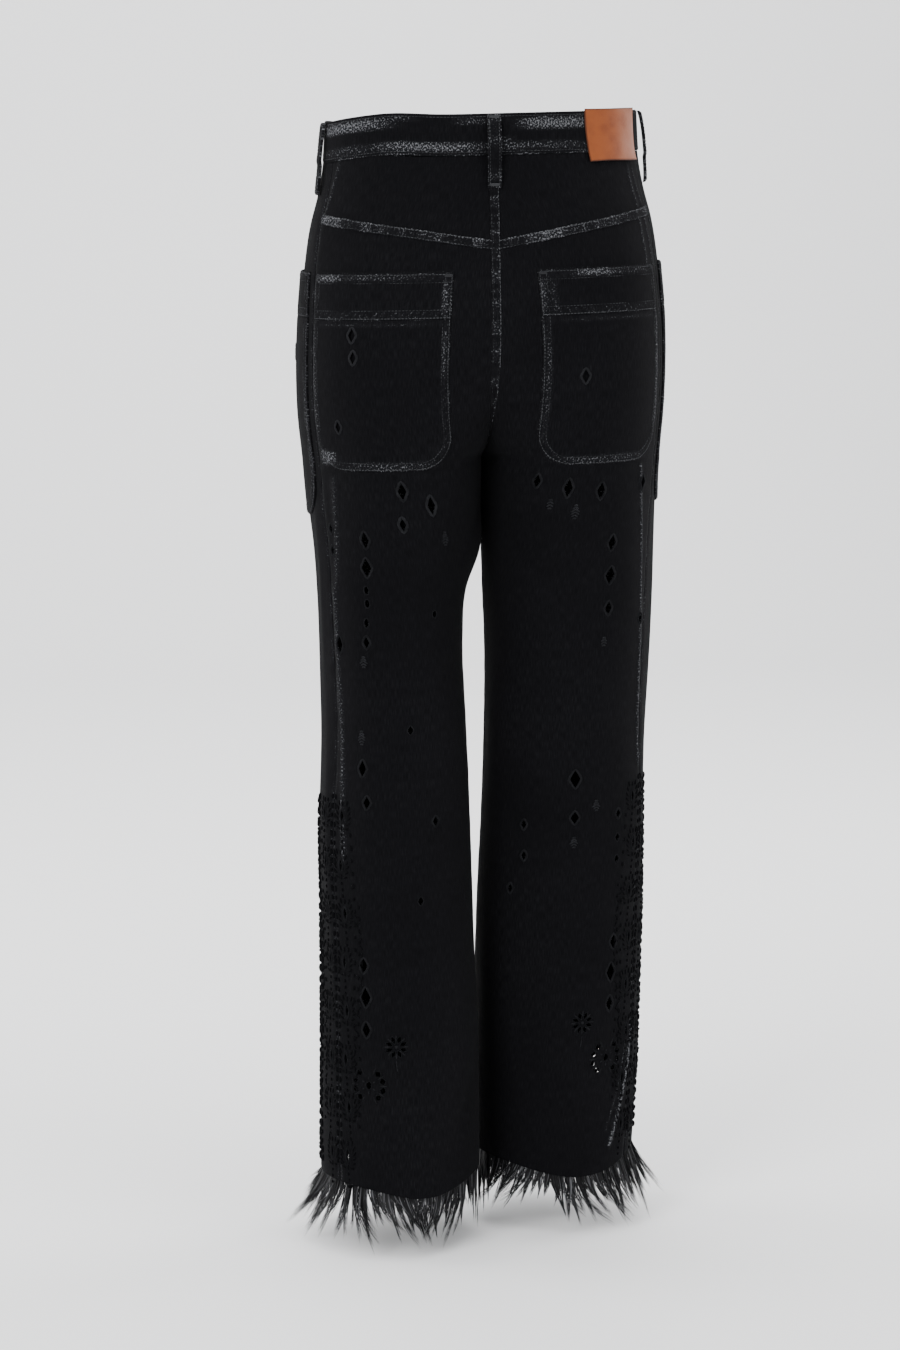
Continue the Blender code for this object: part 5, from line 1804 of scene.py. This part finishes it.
@dataclass
class LeatherPatch:
    """A bare leather patch across the waistband, its corners a little curled."""

    form: Form
    from_side: float = 8.0
    above: float = 2.0
    width: float = 67.0
    height: float = 50.0
    thickness: float = 1.4

    def layer(self, flat: Array, lift: Amount) -> Array:
        """Places at (across, down) from the patch's corner beside the side seam."""
        place = flat + (self.from_side, -self.above)
        return self.form.laid(Panel.BACK, place, BAND_PROUD + SEAM_GAP + self.thickness + lift)

    def build(self, wardrobe: Wardrobe) -> None:
        """Build the slab with rounded edges and slightly wavy sides."""
        rows = [np.concatenate([[0, 0.4, 1.0, 2.0], np.linspace(4, size - 4, count),
                                [size - 2, size - 1.0, size - 0.4, size]])
                for size, count in ((self.width, 26), (self.height, 19))]
        flat = np.stack(np.meshgrid(*rows, indexing="ij"), -1).reshape(-1, 2)
        x, y = flat[:, 0] / self.width, flat[:, 1] / self.height
        edge = np.minimum(np.minimum(flat[:, 0], self.width - flat[:, 0]),
                          np.minimum(flat[:, 1], self.height - flat[:, 1]))
        wavy = flat.copy()
        wavy[:, 0] += 0.5 * np.sin(y * 5.2) * np.sin(math.pi * x / 2) ** 2
        wavy[:, 1] += 0.45 * np.sin(x * 6.0 + 1) * (y - 0.3)
        curl = 0.9 * np.abs(2 * x - 1) ** 5 * np.abs(2 * y - 1) ** 5 + 0.5 * y ** 4
        dent = 0.2 * crumple(flat[:, 0] * 1.5, flat[:, 1] * 1.5, 40.0)
        high = curl + dent - 0.5 * bell(edge, 0.55)
        low = curl + np.minimum(dent, 0) - self.thickness + 0.2
        worn = 0.95 * bell(edge, 0.8) + 0.3 * bell(edge, 3.4)
        work = Patchwork()
        work.wall(self.layer(wavy, high), self.layer(wavy, low),
                  triangles(len(rows[0]), len(rows[1])), flat, np.clip(worn, 0, 1))
        piece = work.make("leather_patch_slab", wardrobe.leather, "leather", "leather_patch")


@dataclass
class Fly:
    """The lapped edge beside the centre front, with the J of its two rows of thread."""

    leg: LegPanel
    width: float = 36.0
    length: float = 148.0
    thickness: float = 1.1
    gap: float = 1.0

    def edge(self, inset: float) -> Array:
        """The J: from the top down beside the centre front and round to it, moved in by inset.

        Returns:
            Points (distance from the centre front, negative inwards; drop).
        """
        wide = self.width - inset
        top = FRONT_DIP + BAND_HEIGHT + 1.0
        straight = top + self.length - self.width
        turns = np.radians(np.linspace(0, 88, 14))[1:]
        return np.concatenate([pairs(-1.0 - wide, np.linspace(top, straight, 24)),
                               pairs(-1.0 - wide * np.cos(turns), straight + wide * np.sin(turns))])

    def across(self, points: Array) -> Array:
        """Flat points of the front panel from points measured from the centre front."""
        placed = points.copy()
        placed[:, 0] += self.leg.form.width(Panel.FRONT, points[:, 1])
        return placed

    def layer(self, flat: Array, lift: Amount) -> Array:
        """Places on the placket's face."""
        return self.leg.form.laid(Panel.FRONT, flat, self.gap + self.thickness + lift)

    def build(self, wardrobe: Wardrobe) -> None:
        """Build the placket and its rows."""
        curve = self.edge(0.0)
        top = curve[0, 1]
        drops = np.arange(curve[-1, 1] - 3.0, top, -3.0)
        outline = np.concatenate([pairs(-1.0, drops), pairs(np.linspace(-1, -self.width, 13), top),
                                  curve])
        flat, faces, area = cut_sheet(outline, [], 3.0)
        edge = edge_distance(flat, outline)
        height = 0.25 * crumple(flat[:, 0] * 2, flat[:, 1], 50.0) - 0.5 * bell(edge, 0.9)
        placed = self.across(flat)
        worn = 0.5 * bell(edge, 1.0) * (0.8 + 0.4 * hash_noise(flat[:, 1] / 9, 3.0))
        cloth, thread = Patchwork(), Patchwork()
        cloth.wall(self.layer(placed, height), self.layer(placed, -self.thickness), faces,
                   placed * (self.leg.turn, 1), worn)
        stitch = Stitching(pitch=3.4, length=2.5, thread=0.26, proud=0.16)
        for inset, wear in ((2.0, 0.6), (8.0, 0.5)):
            stitch.sew(thread, self.layer, self.across(self.edge(inset)), 0.0, wear)
        foot = self.across(np.array([[-6.0, top + self.length - 14.0]]))[0]
        bars = [(foot[0], foot[1] + 0.8 * k, 7.0, 1.1, math.pi / 2, 0.7) for k in range(3)]
        Satin().leaves(thread, self.layer, bars, 0.6)
        piece = cloth.make("fly_placket_cloth", wardrobe.denim, "denim", "fly_placket")
        self.leg.name + "_cloth"
        thread.make("fly_stitching", wardrobe.topstitch, "denim")

    def facing(self, forms: dict[Side, Form], wardrobe: Wardrobe) -> None:
        """The strip behind the fly, just inside both fronts, from the band to the crotch."""
        strip = Welt(width=30.0, thickness=1.2, pucker=0.1, period=20.0)
        drops = np.linspace(FRONT_DIP + 3.0, CROTCH - 24.0, 60)
        work = Patchwork()
        strip.lay(work, across_centre(forms, Panel.FRONT), pairs(0.0, drops), -CLOTH - 3.0, 0.05, 11.0)
        piece = work.make("fly_facing", wardrobe.denim, "denim")
        self.leg.name + "_cloth"


@dataclass
class WaistButton:
    """A turned shank button at the centre front, and its buttonhole."""

    form: Form
    rings: tuple[tuple[float, float], ...] = (
        (8.1, 0.0), (8.5, 0.5), (8.5, 1.5), (8.1, 2.15), (7.5, 2.3), (6.9, 2.0), (6.5, 1.85),
        (6.0, 2.1), (5.2, 2.6), (3.6, 3.3), (1.8, 3.7), (0.6, 3.8))

    def build(self, wardrobe: Wardrobe) -> None:
        """Turn the button: a rolled rim, a groove, and a low dome."""
        seat = self.form.point(np.array(-math.pi), self.form.waist_drop(np.array(-math.pi))
                               + BAND_HEIGHT / 2, BAND_PROUD)
        turns = circle(40)
        points = np.array([(r * math.cos(t), seat[1] - 0.8 - h, seat[2] + r * math.sin(t))
                           for r, h in self.rings for t in turns])
        ends = np.array([(0.0, seat[1] - 0.8, seat[2]), (0.0, seat[1] - 4.6, seat[2])])
        ring = np.arange(40)
        last = 40 * (len(self.rings) - 1)
        caps = [np.stack([np.full(40, len(points)), ring, np.roll(ring, -1)], 1),
                np.stack([np.full(40, len(points) + 1), last + np.roll(ring, -1), last + ring], 1)]
        points = np.concatenate([points, ends])
        faces = np.concatenate([triangles(len(self.rings), 40, closed=True), *caps])
        metal = Patchwork()
        metal.add(points, outwards(points, faces))
        metal.make("waist_button_metal", wardrobe.gunmetal, "button_metal", "waist_button", sharp=70.0)

    def buttonhole(self, band: Waistband, wardrobe: Wardrobe) -> None:
        """Satin bars round a keyhole slit, just outside the button's edge."""
        work = Patchwork()
        ends = band.across(Side.LEFT, np.array([-math.pi]))
        rows = [(ends[0] + 8.0 + 1.5 * k, BAND_HEIGHT / 2 + side * 1.5, 2.6, 1.5, 0.0, 0.6)
                for k in range(9) for side in (-1, 1)]
        Satin().leaves(work, band.layer(Side.LEFT), rows, 0.5)
        work.make("buttonhole_thread", wardrobe.satin, "denim")


@dataclass
class FeatherHem:
    """A tape inside the hem and the feather barbs that hang from it, gathered into locks.

    Barbs fan out from a lock's root and meet again in its curved, pointed tip.
    """

    form: Form
    locks: int = 150
    barbs: int = 24
    length: float = 57.0
    height: float = 10.0
    thickness: float = 2.6
    gap: float = 1.4

    def place(self, turn: Array, lift: Amount, below: Amount) -> Array:
        """Points so far out of the cloth's face and so far below the hem."""
        spot = self.form.point(turn, np.full(np.shape(turn), OUTSEAM), lift)
        x, y = spot[..., 0], spot[..., 1]
        z = -self.form.hem_drop(turn) - below - x * math.tan(HIP_ROLL)
        return np.stack([x, y, z], -1)

    def tape(self, wardrobe: Wardrobe) -> None:
        """The tape: a flat ring with rounded edges just inside the hem."""
        turns = np.linspace(-math.pi, math.pi, 220, endpoint=False)
        out, low = -CLOTH - self.gap, 1.4
        back, top = out - self.thickness, -self.height
        ring = ((out - 0.4, low), (out, low - 0.6), (out, top + 0.6), (out - 0.4, top),
                (back + 0.4, top), (back, top + 0.6), (back, low - 0.6), (back + 0.4, low))
        rings = np.stack([self.place(turns, lift, below) for lift, below in ring], 1)
        count, size = len(turns), len(ring)
        quads = triangles(count + 1, size, closed=True) % (count * size)
        uv = pairs(np.repeat(turns * 92.0, size), np.tile([below for _, below in ring], count))
        points = rings.reshape(-1, 3)
        work = Patchwork()
        work.add(points, outwards(points, quads), uv, 0.1)
        side = self.form.side.word
        piece = work.make(f"feather_tape_{side}", wardrobe.denim, "feather")

    def build(self, wardrobe: Wardrobe) -> None:
        """Grow every barb: a path p(s) = root + out f(s) + along g(s) - down h(s), s from 0 to 1."""
        chance = np.random.default_rng(5 if self.form.side is Side.LEFT else 9)
        count = self.locks
        turn = np.linspace(-math.pi, math.pi, count, endpoint=False)
        turn = turn + chance.uniform(-0.5, 0.5, count) * TURN / count
        depth = chance.uniform(0, 1, count)
        clear = (0.5 + 0.5 * np.cos(turn)) ** 0.7
        wave = 0.98 + 0.16 * np.sin(2 * turn + 1.0) + 0.08 * np.sin(9 * turn)
        reach = self.length * (wave + chance.uniform(-0.46, 0.14, count))
        flare = (0.22 + 0.26 * depth) * clear + 0.01 + chance.uniform(0, 0.1, count) * clear
        lean = 0.12 * np.sin(3 * turn + 0.6) + 0.08 * np.sin(7 * turn)
        lean += chance.uniform(-0.09, 0.09, count)
        curl = 0.42 * np.sin(3 * turn + 1.2) + chance.uniform(-0.3, 0.3, count)
        fold = (count, self.barbs)
        spread = np.linspace(-1, 1, self.barbs)[None] + chance.uniform(-0.12, 0.12, fold)
        size = chance.uniform(0.82, 1.02, fold) * (1 - 0.2 * spread ** 2)
        wide = chance.uniform(2.6, 5.0, count)[:, None]
        depth_lift = (-CLOTH - self.gap - 0.5 - (1 - depth) * (self.thickness - 1.0))[:, None]
        flat_turn = np.repeat(turn, self.barbs)
        root = self.place(flat_turn, (depth_lift + chance.uniform(-0.3, 0.3, fold)).ravel(),
                          chance.uniform(-5, 0.5, fold).ravel())
        out = self.form.normal(flat_turn, np.full(flat_turn.shape, OUTSEAM)) * (1, 1, 0)
        out /= np.linalg.norm(out, axis=1, keepdims=True)
        along = np.cross(out, (0.0, 0.0, 1.0))
        stations = np.array([0.0, 0.2, 0.42, 0.64, 0.84, 1.0])
        radii = np.array([0.36, 0.36, 0.33, 0.27, 0.17, 0.04])
        length = (reach[:, None] * size).ravel()
        tilt, sway, bend, free = (np.repeat(values, self.barbs)
                                  for values in (flare, lean, curl, clear))
        fan = (spread * wide).ravel()
        wander = chance.uniform(-1, 1, length.shape)
        rings = []
        for s, radius in zip(stations, radii):
            sideways = fan * (0.9 + 0.2 * math.sin(math.pi * s)) * (1 - 0.97 * s ** 1.9)
            sideways += length * s * (sway + bend * s ** 1.5) + wander * 0.9 * s * s
            outwards_mm = tilt * length * s * (0.55 + 0.45 * s) + wander * 1.2 * s * free
            fall = length * s * (1 - 0.24 * tilt * s)
            middle = root + out * outwards_mm[:, None] + along * sideways[:, None]
            middle[:, 2] -= fall
            for a, o in ((-0.87, 0.5), (0.87, 0.5), (0.0, -1.0)):
                rings.append(middle + along * a * radius + out * o * radius * 0.7)
        points = np.stack(rings, 1)
        last = 3 * (len(stations) - 1)
        ends = [[0, 2, 1], [last, last + 1, last + 2]]
        one = outwards(points[0], np.concatenate([triangles(len(stations), 3, closed=True), ends]))
        # Painted highlight: about one barb in eight gets a pale streak, strongest partway down it; the
        # rest stay nearly black.
        tone = np.where(chance.uniform(0, 1, fold) < 0.13, chance.uniform(0.45, 1.0, fold),
                        chance.uniform(0, 0.08, fold))
        highlight_along_barb = np.repeat(0.15 + 0.85 * np.sin(math.pi * stations ** 0.8), 3)
        wear = np.clip(tone.ravel()[:, None] * highlight_along_barb, 0, 1)
        work = Patchwork()
        work.scatter(points, one, np.zeros((wear.size, 2)), wear)
        side = self.form.side.word
        work.make(f"feathers_{side}", wardrobe.feather, "feather", f"feather_trim_{side}")


# ---- the studio
@dataclass(frozen=True)
class Lamp:
    """A soft square light that faces a point."""

    name: str
    place: tuple[float, float, float]
    size: float
    power: float
    target: tuple[float, float, float] = (0.0, 0.0, -0.55)

    def hang(self) -> Piece:
        """Make the lamp and turn it to its target."""
        light = bpy.data.lights.new(self.name, "AREA")
        light.size, light.energy = self.size, self.power
        lamp = bpy.data.objects.new(self.name, light)
        lamp.location = self.place
        lamp.rotation_euler = (Vector(self.target) - Vector(self.place)).to_track_quat(
            "-Z", "Y").to_euler()
        return linked(lamp)


@dataclass
class Studio:
    """A pale sweep of paper, soft lamps, and the camera behind the wearer."""

    lamps: tuple[Lamp, ...] = (
        Lamp("key", (2.4, 3.0, 1.5), 1.8, 150.0), Lamp("fill", (-2.6, 2.6, 0.5), 2.2, 70.0),
        Lamp("top", (0.0, 0.6, 2.4), 2.2, 60.0), Lamp("rim_left", (2.6, -1.2, 0.6), 1.6, 60.0),
        Lamp("rim_right", (-2.6, -1.2, 0.6), 1.6, 60.0),
        Lamp("backdrop", (0.0, -2.2, 2.9), 2.6, 190.0, (0.0, -5.2, -0.4)),
    )
    turn: float = math.radians(7.5)
    pitch: float = math.radians(8.377)
    distance: float = 3.6
    level: float = -0.020
    lens: float = 97.86
    shift: float = -0.0222

    def sweep(self, floor: float) -> Piece:
        """The paper: a floor that curves up into a wall in front of the wearer."""
        radius, back = 1.4, -5.2
        turns = np.linspace(0, math.pi / 2, 24)
        profile = [(5.6, floor)] + [(back + radius - radius * math.sin(t),
                                     floor + radius - radius * math.cos(t)) for t in turns]
        profile.append((back, floor + 4.6))
        points = [(x, y, z) for y, z in profile for x in (-6.0, 6.0)]
        mesh = bpy.data.meshes.new("paper")
        mesh.from_pydata(points, [], [(2 * k, 2 * k + 1, 2 * k + 3, 2 * k + 2)
                                      for k in range(len(profile) - 1)])
        mesh.shade_smooth()
        paper = bpy.data.objects.new("paper", mesh)
        shader = Shader("paper", (0.86, 0.86, 0.865), 0.7)
        mesh.materials.append(shader.material)
        return linked(paper)

    def camera(self) -> None:
        """The camera, turned round the garment's axis and pitched down, as in the photograph."""
        c, s = math.cos(self.turn), math.sin(self.turn)
        right = Vector((-c, s, 0.0))
        forward = Vector((-s, -c, 0.0)) * math.cos(self.pitch)
        forward.z = -math.sin(self.pitch)
        up = right.cross(forward)
        lens = bpy.data.cameras.new("camera")
        lens.lens, lens.sensor_width, lens.shift_x = self.lens, 36.0, self.shift
        camera = bpy.data.objects.new("camera", lens)
        turned = Matrix((right, up, -forward)).transposed().to_4x4()
        turned.translation = Vector((s * self.distance, c * self.distance, self.level))
        camera.matrix_world = turned
        bpy.context.scene.camera = linked(camera)

    def set_up(self, floor: float) -> None:
        """Lay the paper, hang the lamps, place the camera, and light the room softly."""
        stage = [self.sweep(floor)] + [lamp.hang() for lamp in self.lamps]
        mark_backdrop(*stage)
        self.camera()
        world = bpy.data.worlds.new("room")
        world.use_nodes = True
        room = world.node_tree.nodes["Background"]
        room.inputs["Color"].default_value = (0.93, 0.94, 0.96, 1.0)
        room.inputs["Strength"].default_value = 0.75
        bpy.context.scene.world = world


# ---- the whole garment
def main() -> None:
    """Build the garment's pieces in order, then the studio round them."""
    logging.basicConfig(level=logging.INFO, format="%(message)s")
    forms = {side: Form(side) for side in Side}
    wardrobe = Wardrobe()
    band = Waistband(forms)
    band.build(wardrobe)
    band.sew(wardrobe)
    legs = {}
    for side, form in forms.items():
        Yoke(form).build(wardrobe)
        for panel in Panel:
            leg = LegPanel(form, panel)
            leg.build(wardrobe)
            leg.embroider(wardrobe)
            PatchPocket(leg).build(wardrobe)
            legs[side, panel] = leg
        BeltLoop(f"belt_loop_side_{side.word}", form, math.radians(6), thickness=3.0,
                 bow=2.6 if side is Side.LEFT else 4.4).build(wardrobe)
        BeltLoop(f"belt_loop_front_{side.word}", form, math.radians(-112)).build(wardrobe)
        hem = FeatherHem(form)
        hem.tape(wardrobe)
        hem.build(wardrobe)
    Seams(forms).build(wardrobe)
    BeltLoop("belt_loop_back", forms[Side.LEFT], math.pi).build(wardrobe)
    LeatherPatch(forms[Side.RIGHT]).build(wardrobe)
    fly = Fly(legs[Side.LEFT, Panel.FRONT])
    fly.build(wardrobe)
    fly.facing(forms, wardrobe)
    button = WaistButton(forms[Side.LEFT])
    button.build(wardrobe)
    button.buttonhole(band, wardrobe)
    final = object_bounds()
    Studio().set_up(float(final[0][2]) - 0.002)


if __name__ == "__main__":
    main()
